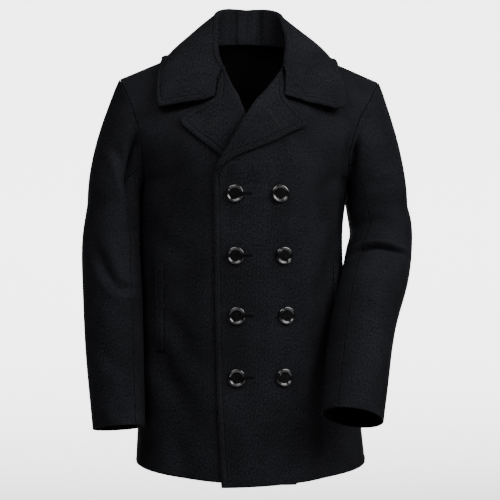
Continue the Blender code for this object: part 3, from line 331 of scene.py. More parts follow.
def spline(knots, values, at, steady=False):
    """Values at places along a smooth curve through the knots. A steady one never overshoots them."""
    knots, values, at = np.asarray(knots, float), np.asarray(values, float), np.asarray(at, float)
    slopes = np.gradient(values, knots, axis=0)
    if steady:
        chords = np.diff(values, axis=0) / np.diff(knots)[:, None]
        before, after = chords[:-1], chords[1:]
        same_way = before * after > 0
        slopes[1:-1] = np.where(same_way, 2 * before * after / np.where(same_way, before + after, 1), 0)
    i = np.clip(np.searchsorted(knots, at, side="right") - 1, 0, len(knots) - 2)
    span = knots[i + 1] - knots[i]
    t = (at - knots[i]) / span
    shape = (-1,) + (1,) * (values.ndim - 1)
    t, span = t.reshape(shape), span.reshape(shape)
    return ((1 + 2 * t) * (1 - t) ** 2 * values[i] + t * (1 - t) ** 2 * span * slopes[i]
            + t * t * (3 - 2 * t) * values[i + 1] - t * t * (1 - t) * span * slopes[i + 1])


def ramp(value, low, high):
    """0 below low, 1 above high, and smooth between."""
    t = np.clip((value - low) / (high - low), 0, 1)
    return t * t * (3 - 2 * t)


def plateau(value, rise, fall):
    """0, then 1 from where it rises to where it falls, and 0 again."""
    return ramp(value, *rise) * (1 - ramp(value, *fall))


def unit(vectors):
    return vectors / np.maximum(np.linalg.norm(vectors, axis=-1, keepdims=True), 1e-12)


def bezier(a, b, c, d, t):
    """Rows of points on cubic curves whose four points are the rows of a, b, c and d."""
    t = t[None, :, None]
    a, b, c, d = (p[:, None, :] for p in (a, b, c, d))
    return (1 - t) ** 3 * a + 3 * (1 - t) ** 2 * t * b + 3 * (1 - t) * t * t * c + t ** 3 * d


def rows_between(rows, columns):
    """A grid from rows of an inner point, the way to its handle, an outer point and the way to its."""
    inner, lead, outer, pull = (rows[:, i:i + 3] for i in (0, 3, 6, 9))
    return bezier(inner, inner + lead, outer + pull, outer, columns)


def lengths_along(line):
    return np.concatenate([[0], np.cumsum(np.linalg.norm(np.diff(line, axis=0), axis=1))])


def at_places(values, along, places):
    """Points or normals, read between their places along a line."""
    return np.stack([np.interp(places, along, values[:, k]) for k in range(3)], axis=-1)


def resampled(line, count):
    """A line of points or normals again, with another number of them."""
    return at_places(line, np.linspace(0, 1, len(line)), np.linspace(0, 1, count))


def grid_normals(grid):
    return unit(np.cross(np.gradient(grid, axis=1), np.gradient(grid, axis=0)))


def key_places(steps):
    places = [k + i / n for k, n in enumerate(steps) for i in range(n)]
    return np.array(places + [len(steps)])


def row_of_key(key):
    return sum(ROWS_PER_KEY[:key])


def body_axis(place):
    """The point on the body's upright axis that is level with a place."""
    return np.array([0.0, 0.0, min(place[2], AXIS_TOP)])


def outward(grid):
    """The grid's normals, turned away from the body's axis."""
    normals = grid_normals(grid)
    r, c = grid.shape[0] // 2, grid.shape[1] // 2
    return normals if np.dot(normals[r, c], grid[r, c] - body_axis(grid[r, c])) > 0 else -normals


def grid_faces(rows, columns, start):
    r, c = np.meshgrid(np.arange(rows - 1), np.arange(columns - 1), indexing="ij")
    a = (start + r * columns + c).ravel()
    return np.stack([a, a + 1, a + columns + 1, a + columns], axis=1)


def tree_of(*grids):
    """A search tree of the faces of some grids."""
    points, faces = [], []
    for grid in grids:
        faces += grid_faces(*grid.shape[:2], len(points)).tolist()
        points += grid.reshape(-1, 3).tolist()
    return BVHTree.FromPolygons(points, faces)


def onto(tree, x, z, above):
    """The point of a front's face at x and z, moved out along its normal, and that normal."""
    hits = [tree.ray_cast(Vector((x + dx, -1.0, z + dz)), Vector((0, 1, 0)))[:2] for dx, dz in AROUND]
    normals = [n if n.y < 0 else -n for place, n in hits if place is not None]
    normal = sum(normals, Vector()) / max(len(normals), 1)
    place = hits[0][0]
    if place is None:  # just past the front's edge, so its tangent is followed
        place, flat, _, _ = tree.find_nearest(Vector((x, -0.1, z)))
        normal = sum(normals, flat if flat.y < 0 else -flat)
        off = Vector((x, place.y, z)) - place
        place = Vector((x, place.y - off.dot(normal) / normal.y, z))
    normal.normalize()
    return np.array(place + normal * above), np.array(normal)


def kept_clear(points, tree, clear, inside):
    """Points moved out where they lie closer to a face than they may; inside tells which way."""
    moved = points.copy()
    for i in np.ndindex(points.shape[:-1]):
        place, normal, _, _ = tree.find_nearest(Vector(points[i]))
        way = np.array(normal)
        if np.dot(way, np.array(place) - inside(np.array(place))) < 0:
            way = -way
        offset = points[i] - np.array(place)
        height = np.dot(offset, way)
        beside = np.linalg.norm(offset - height * way)
        if height < clear and beside < BESIDE:
            moved[i] = points[i] + way * (clear - height)
    return moved


def evened(grid, share, passes):
    """Draws a grid towards the mean of its neighbours; share tells how much at each point."""
    share = share[1:-1, 1:-1, None] / 2
    for _ in range(passes):
        mean = (grid[:-2, 1:-1] + grid[2:, 1:-1] + grid[1:-1, :-2] + grid[1:-1, 2:]) / 4
        grid[1:-1, 1:-1] += share * (mean - grid[1:-1, 1:-1])


def along_line(places, line):
    """How far each (x, z) place lies to the side of a line of points, and how far along it, 0 to 1."""
    line = np.array(line, float)
    steps = np.linspace(0, 1, len(line))
    fine = spline(steps, line, np.linspace(0, 1, 40))
    start, way = fine[:-1], np.diff(fine, axis=0)
    long = (way ** 2).sum(1)
    best_far, best_side, best_along = (np.full(places.shape[:-1], np.inf) for _ in range(3))
    for k in range(len(start)):
        off = places - start[k]
        t = np.clip((off @ way[k]) / long[k], 0, 1)
        rest = off - t[..., None] * way[k]
        far = np.linalg.norm(rest, axis=-1)
        side = np.sign(way[k][0] * rest[..., 1] - way[k][1] * rest[..., 0]) * far
        near = far < best_far
        best_far = np.where(near, far, best_far)
        best_side = np.where(near, side, best_side)
        best_along = np.where(near, (k + t) / len(start), best_along)
    return best_side, best_along


def creased(grid, normals, creases, facing=-1, mirror=1):
    """The grid with its soft troughs, each with a lower ridge beside it, where it faces that way."""
    faces_us = ramp(normals[..., 1] * facing, *FACING)
    places = grid[..., [0, 2]]
    sink = np.zeros(grid.shape[:2])
    for crease in creases:
        side, along = along_line(places, [(x * mirror, z) for x, z in crease.points])
        fade = np.sin(np.pi * np.clip(along, CREASE_ENDS, 1 - CREASE_ENDS)) ** CREASE_FADE
        depth = crease.depth * np.exp(-(side / crease.width) ** 2)
        if crease.beside:
            ridge = np.exp(-((side * mirror + crease.beside) / crease.width) ** 2)
            depth -= RIDGE_SHARE * crease.depth * ridge
        sink += depth * fade
    return grid - normals * (sink * faces_us)[..., None]


# ---- the body -------------------------------------------------------------------------------

def front_field(x, z):
    """The depth of the fronts' shared middle."""
    heights, depths = zip(*FRONT_DEPTH)
    return -spline(heights, depths, np.ravel(z)).reshape(np.shape(z)) + FRONT_BOW * x * x


def front_grid(side):
    """The outer face of one front, as rows from the front edge to the side; side is 1 for left."""
    places = key_places(ROWS_PER_KEY)
    table = np.array([
        (e.left_x if side > 0 else e.right_x, e.y, e.left_z if side > 0 else e.right_z,
         side * f.lead_x, f.lead_y, f.lead_z,
         side * (f.left_x if side > 0 else f.right_x), f.out_y, f.out_z,
         side * f.pull_x, f.pull_y, f.pull_z)
        for e, f in zip(EDGE_ROWS, FRONT_ROWS)])
    low = np.array([e.y == 0 and k < TOP_KEY for k, e in enumerate(EDGE_ROWS)])
    table[low, 1] = front_field(table[low, 0], table[low, 2])
    grid = rows_between(spline(np.arange(len(table)), table, places), FRONT_COLUMNS)
    shared = (1 - ramp(np.abs(grid[..., 0]), *SHARED_WIDE)) * (1 - ramp(grid[..., 2], *SHARED_HIGH))
    grid[..., 1] += shared * (front_field(grid[..., 0], grid[..., 2]) - grid[..., 1])
    share = plateau(places, *EVENED_KEYS)[:, None] * plateau(FRONT_COLUMNS, *EVENED_COLUMNS)
    evened(grid, share, FRONT_EVENING)
    return grid


def back_grid(side):
    """The outer face of one back, as rows from the centre back to the side."""
    places = key_places(ROWS_PER_KEY)
    table = np.array([
        (side * b.in_x, b.in_y, b.in_z, side * b.lead_x, b.lead_y, b.lead_z,
         side * (f.left_x if side > 0 else f.right_x), b.out_y, b.out_z,
         side * b.pull_x, b.pull_y, b.pull_z)
        for b, f in zip(BACK_ROWS, FRONT_ROWS)])
    rows = spline(np.arange(len(table)), table, places)
    nape = row_of_key(NAPE_KEY)
    rows[:nape + 1, 0] = 0
    turn = (places[nape:] - NAPE_KEY) * math.pi / 2
    rows[nape:, 0] = side * BACK_ROWS[TOP_KEY].in_x * np.sin(turn)
    rows[nape:, 1] = BACK_ROWS[NAPE_KEY].in_y * np.cos(turn)
    rows[nape:, 2] = BACK_ROWS[NAPE_KEY].in_z * np.cos(turn)
    return rows_between(rows, BACK_COLUMNS)


def lapped_vent(grid, tree):
    """Laps the left back's vent extension over the right back."""
    below = 1 - ramp(grid[:, :, 2], VENT_TOP - VENT_BLEND, VENT_TOP + VENT_BLEND)
    across = np.linspace(0, 1, grid.shape[1])
    grid[..., 0] -= below * VENT_LAP * (1 - across) ** 2
    lift = LAP * (1 - ramp(grid[..., 0], *VENT_LIFT_FADE))
    lift *= 1 - ramp(grid[..., 2], VENT_TOP + VENT_LAP, VENT_TOP + 3 * VENT_LAP)
    lowest = grid[0, :, 2].max() + SEAM_SPACE
    for i in zip(*np.nonzero(lift)):
        level = max(grid[i][2], lowest)
        place = tree.ray_cast(Vector((grid[i][0], 1.0, level)), Vector((0, -1, 0)))[0]
        if place is not None:
            grid[i][1] = place.y + lift[i]


def body_panels():
    """Outer grids and normals of the two fronts and the two backs, which agree along their seams."""
    plain = {"front_right": front_grid(-1), "front_left": front_grid(1),
             "back_right": back_grid(-1), "back_left": back_grid(1)}
    creases = {"front_right": (RIGHT_FRONT_CREASES, -1, 1), "front_left": (LEFT_FRONT_CREASES, -1, 1),
               "back_right": (BACK_CREASES, 1, -1), "back_left": (BACK_CREASES, 1, 1)}
    grids = {name: creased(grid, outward(grid), *creases[name]) for name, grid in plain.items()}
    left = grids["front_left"]
    lap = (1 - ramp(left[..., 0], *LAP_WIDE)) * (1 - ramp(left[..., 2], *LAP_HIGH))
    over_lapel = (1 - ramp(left[..., 0], *OVER_LAPEL_WIDE)) * plateau(left[..., 2], *OVER_LAPEL_HIGH)
    left[..., 1] -= LAP * lap + OVER_LAPEL * over_lapel

    armpit = row_of_key(ARMPIT_KEY)
    for side in ("left", "right"):
        front, back = grids[f"front_{side}"], grids[f"back_{side}"]
        seam = (front[:armpit + 1, -1] + back[:armpit + 1, -1]) / 2
        front[:armpit + 1, -1] = back[:armpit + 1, -1] = seam
        back[-1] = resampled(front[-1], len(back[-1]))
    lapped_vent(grids["back_left"], tree_of(grids["back_left"], grids["back_right"]))
    normals = {name: outward(grid) for name, grid in grids.items()}
    for side in ("left", "right"):
        front, back = normals[f"front_{side}"], normals[f"back_{side}"]
        seam = unit(front[:armpit + 1, -1] + back[:armpit + 1, -1])
        front[:armpit + 1, -1] = back[:armpit + 1, -1] = seam
        back[-1] = unit(resampled(front[-1], len(back[-1])) + back[-1])
        front[-1] = resampled(back[-1], len(front[-1]))
    return grids, normals


# ---- cloth shells ---------------------------------------------------------------------------

EDGES = {"first_row": (np.s_[0], np.s_[1]), "last_row": (np.s_[-1], np.s_[-2]),
         "first_column": (np.s_[:, 0], np.s_[:, 1]), "last_column": (np.s_[:, -1], np.s_[:, -2])}


def seam_pulled(grid, sides, by):
    """The grid with its named edges drawn back, so that two sewn pieces keep a space."""
    grid = grid.copy()
    for side in sides:
        edge, beside = EDGES[side]
        away = grid[beside] - grid[edge]
        long = np.linalg.norm(away, axis=-1, keepdims=True)
        grid[edge] += away * np.minimum(by / np.maximum(long, 1e-9), DRAW_LIMIT)
    return grid


def edge_lines(grid, sides):
    """Closely spaced points along each of the named edges of a grid."""
    lines = []
    for side in sides:
        points = grid[EDGES[side][0]]
        along = lengths_along(points)
        fine = np.linspace(0, along[-1], max(2, int(along[-1] / LINE_STEP)))
        lines.append(at_places(points, along, fine))
    return lines


def inside_edge(grid, lines):
    """How far each point of a grid lies from its finished edges."""
    far = np.full(grid.shape[:2], 1.0)
    for line in lines:
        for r in range(grid.shape[0]):
            apart = np.linalg.norm(grid[r][:, None] - line[None], axis=-1)
            far[r] = np.minimum(far[r], apart.min(axis=1))
    return far


def stitched(grid, normals, far):
    """The grid with a puffed edge and a groove where the topstitching draws the cloth in."""
    puff = EDGE_PUFF * np.sin(np.pi * np.clip(far / STITCH_IN, 0, 1))
    groove = STITCH_DIP * np.exp(-((far - STITCH_IN) / STITCH_HALF) ** 2)
    return grid + normals * (puff - groove)[..., None]


def new_piece(name, points, faces, materials):
    """A smooth object in the scene, made of its points and faces."""
    mesh = bpy.data.meshes.new(name)
    mesh.from_pydata(np.asarray(points).tolist(), [], faces)
    mesh.shade_smooth()
    for material in materials:
        mesh.materials.append(material)
    item = bpy.data.objects.new(name, mesh)
    bpy.context.scene.collection.objects.link(item)
    return item


def shell(name, outer, inner, materials, grain=None, rounding=ROUND_EDGE):
    """A closed shell between two grids whose edges are rounded, with its weave laid out in metres.
    A second material lines its inner face."""
    rows, columns = outer.shape[:2]
    count = rows * columns
    faces = [grid_faces(rows, columns, 0), grid_faces(rows, columns, count)[:, ::-1]]
    border = ([(0, c) for c in range(columns)] + [(r, columns - 1) for r in range(1, rows)]
              + [(rows - 1, c) for c in range(columns - 2, -1, -1)]
              + [(r, 0) for r in range(rows - 2, 0, -1)])
    r, c = np.array(border).T
    inward = grid_centre_way(outer, r, c)
    top, bottom = outer[r, c], inner[r, c]
    middle, half = (top + bottom) / 2, (top - bottom) / 2
    rings, index = [], [r * columns + c]
    for k in range(1, ROUND_STEPS + 1):
        turn = math.pi * k / (ROUND_STEPS + 1)
        rings.append(middle + half * math.cos(turn) - inward * (rounding * math.sin(turn)))
        index.append(2 * count + (k - 1) * len(r) + np.arange(len(r)))
    index.append(r * columns + c + count)
    for a, b in zip(index[:-1], index[1:]):
        faces.append(np.stack([np.roll(a, -1), a, b, np.roll(b, -1)], axis=1))
    points = np.concatenate([outer.reshape(-1, 3), inner.reshape(-1, 3)] + rings)
    faces = np.concatenate(faces)
    if signed_volume(points, faces) < 0:
        faces = faces[:, ::-1]
    item = new_piece(f"{name}_cloth", points, faces.tolist(), materials)
    mesh = item.data
    if len(materials) > 1:
        lined = np.arange(len(faces)) // ((rows - 1) * (columns - 1)) == 1
        mesh.polygons.foreach_set("material_index", lined.astype(int))
    weave = cloth_lengths(outer) if grain is None else grain
    per_point = np.concatenate([weave.reshape(-1, 2)] * 2 + [weave[r, c]] * ROUND_STEPS)
    loops = np.empty(len(mesh.loops), int)
    mesh.loops.foreach_get("vertex_index", loops)
    mesh.uv_layers.new(name="weave").data.foreach_set("uv", per_point[loops].ravel())
    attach(item, "root")
    return item


def body_wall(name, outer, inner, sides, finishes):
    """A front or a back, whose sewn edges stand back from the pieces beside it."""
    outer, inner = (seam_pulled(part, sides, ROUND_EDGE + SEAM_SPACE) for part in (outer, inner))
    return shell(name, outer, inner, finishes)


def grid_centre_way(grid, r, c):
    """At each border point, the unit way into the grid, square to its own edge."""
    rows, columns = grid.shape[:2]
    way = np.zeros((len(r), 3))
    for edge, step in ((r == 0, (1, 0)), (r == rows - 1, (-1, 0)), (c == 0, (0, 1)),
                       (c == columns - 1, (0, -1))):
        away = grid[r[edge] + step[0], c[edge] + step[1]] - grid[r[edge], c[edge]]
        way[edge] += unit(away)
    along = unit(np.roll(grid[r, c], -1, axis=0) - np.roll(grid[r, c], 1, axis=0))
    corner = ((r == 0) | (r == rows - 1)) & ((c == 0) | (c == columns - 1))
    way[~corner] -= (way * along).sum(1)[~corner, None] * along[~corner]
    return unit(way)


def signed_volume(points, faces):
    a, b, c, d = (points[faces[:, k]] for k in range(4))
    return (np.einsum("ij,ij->i", a, np.cross(b, c)) + np.einsum("ij,ij->i", a, np.cross(c, d))).sum()


def cloth_lengths(grid):
    """Lengths along the rows and up the columns, which lay the weave on the cloth unstretched."""
    across = np.linalg.norm(np.diff(grid, axis=1), axis=-1)
    across = np.concatenate([np.zeros((len(grid), 1)), np.cumsum(across, axis=1)], axis=1)
    up = np.linalg.norm(np.diff(grid, axis=0), axis=-1).mean(axis=1)
    up = np.concatenate([[0], np.cumsum(up)])
    return np.stack([across, np.broadcast_to(up[:, None], across.shape)], axis=-1)


def hung_grain(grid):
    """A weave whose ribs hang straight down, however the piece is turned."""
    return grid[..., [0, 2]].copy()


def ring_about(place, sideways, up, radius, sides):
    turns = 2 * np.pi * np.arange(sides)[:, None] / sides
    return place + radius * (np.cos(turns) * sideways + np.sin(turns) * up)


def add_strand(points, faces, rings):
    """Adds one closed strand of thread, given as rings of points from end to end."""
    first, sides = len(points), len(rings[0])
    for ring in rings:
        points.extend(ring)
    for k in range(len(rings) - 1):
        for s in range(sides):
            a, b = first + k * sides + s, first + k * sides + (s + 1) % sides
            faces.append((a, b, b + sides, a + sides))
    faces.append(tuple(range(first + sides - 1, first - 1, -1)))
    faces.append(tuple(range(len(points) - sides, len(points))))


def stitches(name, line, ways, material):
    """A row of separate stitches along a line of points, each a short bowed thread, as one mesh."""
    along = lengths_along(line)
    count = int(along[-1] / (STITCH_LONG + STITCH_GAP))
    shares = np.linspace(0, 1, 5)
    radii = THREAD * np.array([STITCH_END, 1, 1, 1, STITCH_END])
    points, faces = [], []
    for start in np.arange(count) * along[-1] / max(count, 1):
        places = start + STITCH_LONG * shares
        up = at_places(ways, along, places)
        bow = THREAD * STITCH_BOW * np.sin(np.pi * shares)[:, None]
        spine = at_places(line, along, places) + up * bow
        up = unit(up)
        sideways = unit(np.cross(unit(np.gradient(spine, axis=0)), up))
        add_strand(points, faces, [ring_about(*ring, 6) for ring in zip(spine, sideways, up, radii)])
    item = new_piece(name, points, faces, [material])
    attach(item, "root")
    return item


def stitch_path(grid, normals, far):
    """Where the topstitching runs: in each row, from its last column back, the first place that is
    deep enough inside the edge."""
    line, ways = [], []
    for r in range(len(grid)):
        deep = np.nonzero(far[r, ::-1] >= STITCH_IN)[0]
        if not len(deep) or deep[0] == 0:
            continue
        b = grid.shape[1] - 1 - deep[0]
        a = b + 1
        t = (STITCH_IN - far[r, a]) / max(far[r, b] - far[r, a], 1e-9)
        line.append(grid[r, a] + (grid[r, b] - grid[r, a]) * t)
        ways.append(normals[r, a])
    return np.array(line), np.array(ways)


# ---- sleeves --------------------------------------------------------------------------------

def armhole(front, back, front_normals, back_normals):
    """The armhole's loop, from the shoulder tip down the front and up the back."""
    armpit = row_of_key(ARMPIT_KEY)
    points = np.concatenate([front[:armpit - 1:-1, -1], back[armpit + 1:-1, -1]])
    normals = np.concatenate([front_normals[:armpit - 1:-1, -1], back_normals[armpit + 1:-1, -1]])
    inward = np.concatenate([front[:armpit - 1:-1, -2], back[armpit + 1:-1, -2]])
    return points, normals, unit(points - inward)


def sleeve_grid(side, table, hole, away, body):
    """The outer face of a sleeve, as rings from the armhole to the cuff."""
    count = len(hole)
    turn = 2 * np.pi * np.arange(count) / count
    centres = np.array([(r.x, r.y, r.z) for r in table])
    stretches = len(table) - 1
    places = np.linspace(0, stretches, stretches * RING_STEPS[stretches] + 1)
    knots = np.arange(len(table))
    path = spline(knots, centres, places)
    wide = spline(knots, [r.wide for r in table], places)
    deep = spline(knots, [r.deep for r in table], places)
    level = 1 - ramp(places, 0, 1)[:, None]  # the bicep's ring is level, and the next ones tilt
    down = unit(unit(np.gradient(path, axis=0)) * (1 - level) + level * [0, 0, -1])
    across = unit(np.array([side, 0, 0]) - (down * [side, 0, 0]).sum(1)[:, None] * down)
    forward = unit(np.cross(down, across))
    forward *= np.sign(-forward[:, 1:2])
    rings = (path[:, None] + wide[:, None, None] * np.cos(turn)[None, :, None] * across[:, None]
             + deep[:, None, None] * np.sin(turn)[None, :, None] * forward[:, None])
    first = hole + 2 * SEAM_SPACE * away
    bicep = rings[0]
    out = unit(bicep - path[0]) * (0.5 + 0.5 * np.cos(turn))[:, None]
    leave = CAP_LEAVE * (bicep - first) + CAP_FULL * (out + away)
    arrive = np.zeros_like(leave)
    arrive[:, 2] = CAP_ARRIVE * np.linalg.norm(bicep - first, axis=1)
    cap = bezier(first, first + leave, bicep + arrive, bicep, np.linspace(0, 1, CAP_STEPS + 1))
    grid = np.concatenate([cap.transpose(1, 0, 2)[:-1], rings])
    clear = np.interp(np.arange(len(grid)),
                      (CAP_STEPS / 6, CAP_STEPS / 2, CAP_STEPS, CAP_STEPS + RING_STEPS[stretches]),
                      (0, UNDERARM_CLEAR, UNDERARM_CLEAR, SLEEVE_CLEAR))
    for r in range(CAP_STEPS // 4, len(grid)):
        grid[r] = kept_clear(grid[r], body, clear[r], body_axis)
    wrap = 4
    ring = np.concatenate([grid[:, -wrap:], grid, grid[:, :wrap]], axis=1)
    low = np.arange(len(grid))[:, None]
    evened(ring, ramp(low, 2, CAP_STEPS / 3) * np.ones(ring.shape[:2]), SLEEVE_EVENING)
    grid = ring[:, wrap:-wrap]
    for r in range(CAP_STEPS // 4, len(grid)):
        grid[r] = kept_clear(grid[r], body, CLEAR_AGAIN * clear[r], body_axis)
    return grid


def ring_normals(grid):
    """The normals of a closed ring grid, turned out from its middle."""
    ring = np.concatenate([grid[:, -1:], grid, grid[:, :1]], axis=1)
    face = grid_normals(ring)[:, 1:-1]
    return face if ((grid - grid.mean(axis=1, keepdims=True)) * face).sum() > 0 else -face


def sleeve(side, name, table, hole, body, creases, finishes):
    """The upper and the under sleeve of one side, sewn along two seams."""
    points, normals, away = hole
    grid = sleeve_grid(side, table, points, away, body)
    plain = grid
    grid = creased(grid, ring_normals(grid), creases, -1)
    grid = creased(grid, ring_normals(grid), SLEEVE_BACK_CREASES, 1, side)
    grid = plain + (grid - plain) * ramp(np.arange(len(grid)), 0, 3)[:, None, None]
    face = ring_normals(grid)
    face[0] = unit(normals + face[1] - SEAM_LEAN * away)
    inner = grid - CLOTH * face
    seams = {
        f"upper_sleeve_{name}": list(range(UNDER_TO, len(points))) + list(range(UNDER_FROM + 1)),
        f"under_sleeve_{name}": list(range(UNDER_FROM, UNDER_TO + 1)),
    }
    made = {}
    sides = ("first_column", "last_column", "first_row")
    for node, columns in seams.items():
        outer, under = (seam_pulled(part[:, columns], sides, SEWN_EDGE + SEAM_SPACE)
                        for part in (grid, inner))
        made[node] = shell(node, outer, under, finishes, rounding=SEWN_EDGE)
    return made


# ---- collar and lapels ----------------------------------------------------------------------

def collar_sections():
    """The points of the collar's sections, from the right gorge round the back to the left one."""
    at = np.linspace(0, 1, COLLAR_HALF_STEPS)
    left = spline([s.at for s in COLLAR_SECTIONS], [s[1:] for s in COLLAR_SECTIONS], at)
    right = left * np.tile([-1, 1, 1], 3)
    right[:, 6] -= RIGHT_GORGE_SHIFT * ramp(at, RIGHT_GORGE_FROM, 1.0)
    right[:, 6] -= RIGHT_SPREAD * plateau(at, *RIGHT_SPREAD_AT)
    for half in (right, left):
        half[:, [3, 6]] += COLLAR_SHIFT * (1 - ramp(at, *COLLAR_SHIFT_ENDS))[:, None]
    sections = np.concatenate([right[:0:-1], left])
    return sections[:, 0:3], sections[:, 3:6], sections[:, 6:9]


def collar_grid():
    """The collar's outer face: rows up the stand, over the roll and down the fall."""
    seam, roll, edge = collar_sections()
    middle = unit(roll * [1, NECK_OVAL, 0])
    rolled_out = unit((edge - roll) * [1, 1, 0] + ROLL_OUTWARD * middle)
    centre = roll - [0, 0, COLLAR_ROLL]
    stand_top = centre - rolled_out * COLLAR_ROLL
    fall_top = centre + rolled_out * COLLAR_ROLL
    rows = [seam + (stand_top - seam) * i / STAND_STEPS for i in range(STAND_STEPS)]
    for turn in np.linspace(0, math.pi, ROLL_STEPS + 1):
        rows.append(centre + COLLAR_ROLL * ([0, 0, math.sin(turn)] - rolled_out * math.cos(turn)))
    bulge = unit(rolled_out + [0, 0, BELLY_UP])
    bulge *= FALL_BELLY * np.linalg.norm(edge - fall_top, axis=1)[:, None]
    for t in COLLAR_FALL[1:]:
        rows.append(fall_top + (edge - fall_top) * t + 4 * t * (1 - t) * bulge)
    return np.stack(rows)


def collar_normals(grid):
    """The collar's normals, which point back on the fall behind the neck."""
    normals = grid_normals(grid)
    return normals if normals[-2, COLLAR_HALF_STEPS][1] > 0 else -normals


def collar(body, finishes):
    """The stand, the roll and the fall, in sections from one gorge round the back to the other."""
    grid = collar_grid()
    start = STAND_STEPS + ROLL_STEPS
    stand, fall = grid[:start], grid[start:]
    fade = 1 - ramp(np.arange(start), *DENT_FADE)[:, None]
    for x in STAND_DENTS:
        dent = DENT_DEPTH * np.exp(-((stand[..., 0] - x) / DENT_HALF) ** 2)
        stand[..., 1] += dent * (stand[..., 1] > DENTS_BEHIND) * fade
    fall[:] = kept_clear(fall, body, COLLAR_CLOTH + COLLAR_CLEAR, body_axis)
    under = grid - COLLAR_CLOTH * collar_normals(grid)
    rise = kept_clear(under[start:], body, COLLAR_CLEAR, body_axis) - under[start:]
    rise[..., 2] += SHOULDER_RISE * np.exp(-(under[start:, :, 1] / SHOULDER_WIDE) ** 2)
    off = ramp(COLLAR_FALL, *STAND_OFF_FALL)[:, None] * COLLAR_STAND_OFF
    rise[..., 1] -= off * ramp(np.abs(np.linspace(-1, 1, grid.shape[1])), *STAND_OFF_HALF)
    fall += rise
    under[start:] += rise
    across, ways, inner = (part.transpose(1, 0, 2) for part in (grid, collar_normals(grid), under))
    return turned_out("collar", across, inner, ways, finishes)


def turned_out(name, grid, inner, ways, finishes):
    """A turned-out piece with its topstitched outer edge, the line of its stitches, and its face."""
    far = inside_edge(grid, edge_lines(grid, ("last_column",)))
    top = stitched(grid, ways, far)
    return shell(name, top, inner, finishes, grain=hung_grain(top)), stitch_path(top, ways, far), top


def roll_profile(radius, turn):
    return -radius * math.sin(turn), radius * (1 - math.cos(turn))


def lapel(name, rows, tree, finishes):
    """A lapel turned out over its front: a half-round roll, then a leaf that settles on the cloth."""
    places = np.linspace(0, 1, LAPEL_STEPS)
    lines = spline([r.at for r in rows], [r[1:] for r in rows], places, steady=True)
    half = COLLAR_CLOTH / 2
    cells = []
    for at, (roll_x, roll_z, edge_x, edge_z, roll) in zip(places, lines):
        edge_lift = LAPEL_EDGE_LIFT * min(1, at / LAPEL_LIFT_ENDS[0], (1 - at) / LAPEL_LIFT_ENDS[1])
        base, normal = onto(tree, roll_x, roll_z, 0)
        far, _ = onto(tree, edge_x, edge_z, 0)
        way = unit(far - base)
        set_in = min(LAPEL_SET, LAPEL_SET_SHARE * np.linalg.norm(far - base))
        row = []
        for turn in LAPEL_TURNS:
            back, up = roll_profile(roll, turn)
            spot = base + way * (set_in + back) + normal * (REST + half + up)
            out = -way * math.sin(turn) - normal * math.cos(turn)
            row.append((spot + out * half, spot - out * half, out))
        for t in LAPEL_LEAF:
            x = roll_x + (edge_x - roll_x) * t + set_in * (1 - t) * way[0]
            z = roll_z + (edge_z - roll_z) * t + set_in * (1 - t) * way[2]
            height = REST + edge_lift * t * t + 2 * roll * (1 - t) ** LAPEL_SETTLES
            spot, out = onto(tree, x, z, height)
            row.append((spot + out * COLLAR_CLOTH, spot, out))
        cells.append(row)
    grid, inner, ways = np.moveaxis(np.array(cells), 2, 0)
    return turned_out(name, grid, inner, ways, finishes)


def front_shell(name, grid, normals, finishes):
    """A front with its stitched front edge and hem, and the line of its stitches."""
    edged = grid[:row_of_key(ARMPIT_KEY + 2)]
    far = inside_edge(grid, edge_lines(edged, ("first_column", "first_row")))
    top = stitched(grid, normals, far)
    piece = body_wall(name, top, grid - CLOTH * normals, ("last_column", "last_row"), finishes)
    sewn = np.s_[row_of_key(ARMPIT_KEY + 1):1:-1, ::-1]  # from the break down, the front edge last
    return piece, stitch_path(top[sewn], normals[sewn], far[sewn])


# ---- trimmings ------------------------------------------------------------------------------

def only_selected(item):
    bpy.ops.object.select_all(action="DESELECT")
    item.select_set(True)
    bpy.context.view_layer.objects.active = item


def button_model(material):
    """One turned button, face up at the origin: a raised round rim about a sunk plain middle."""
    bpy.ops.object.select_all(action="DESELECT")
    bpy.ops.mesh.primitive_cylinder_add(vertices=64, radius=BLANK_RADIUS, depth=BLANK_DEPTH,
                                        end_fill_type="NGON", location=(0, 0, BLANK_DEPTH / 2))
    item = bpy.context.object
    item.name = "button"
    bpy.ops.object.transform_apply(location=True)
    bpy.ops.object.mode_set(mode="EDIT")
    bpy.ops.mesh.select_mode(type="FACE")

    def select_face(upwards):
        bpy.ops.mesh.select_all(action="DESELECT")
        bpy.ops.object.mode_set(mode="OBJECT")
        for face in item.data.polygons:
            face.select = len(face.vertices) > 4 and face.normal.z * upwards > 0.9
        bpy.ops.object.mode_set(mode="EDIT")

    select_face(1)
    for step, by, wide in BUTTON_STEPS:
        if step == "cut_in":
            bpy.ops.mesh.inset(thickness=BUTTON_RADIUS * by)
        else:
            bpy.ops.mesh.extrude_region_move(TRANSFORM_OT_translate={"value": (0, 0, BUTTON_DEPTH * by)})
            bpy.ops.transform.resize(value=(wide, wide, 1))
    bpy.ops.transform.translate(value=(0, 0, BUTTON_DEPTH * BUTTON_CROWN))
    select_face(-1)
    bpy.ops.mesh.inset(thickness=BUTTON_RADIUS * BUTTON_BACK_IN)
    bpy.ops.mesh.select_all(action="SELECT")
    bpy.ops.mesh.normals_make_consistent(inside=False)
    bpy.ops.object.mode_set(mode="OBJECT")
    only_selected(item)
    smooth = item.modifiers.new("rounded", "SUBSURF")
    smooth.levels = smooth.render_levels = 1
    bpy.ops.object.modifier_apply(modifier=smooth.name)
    bpy.ops.object.shade_smooth()
    item.data.materials.append(material)
    return item


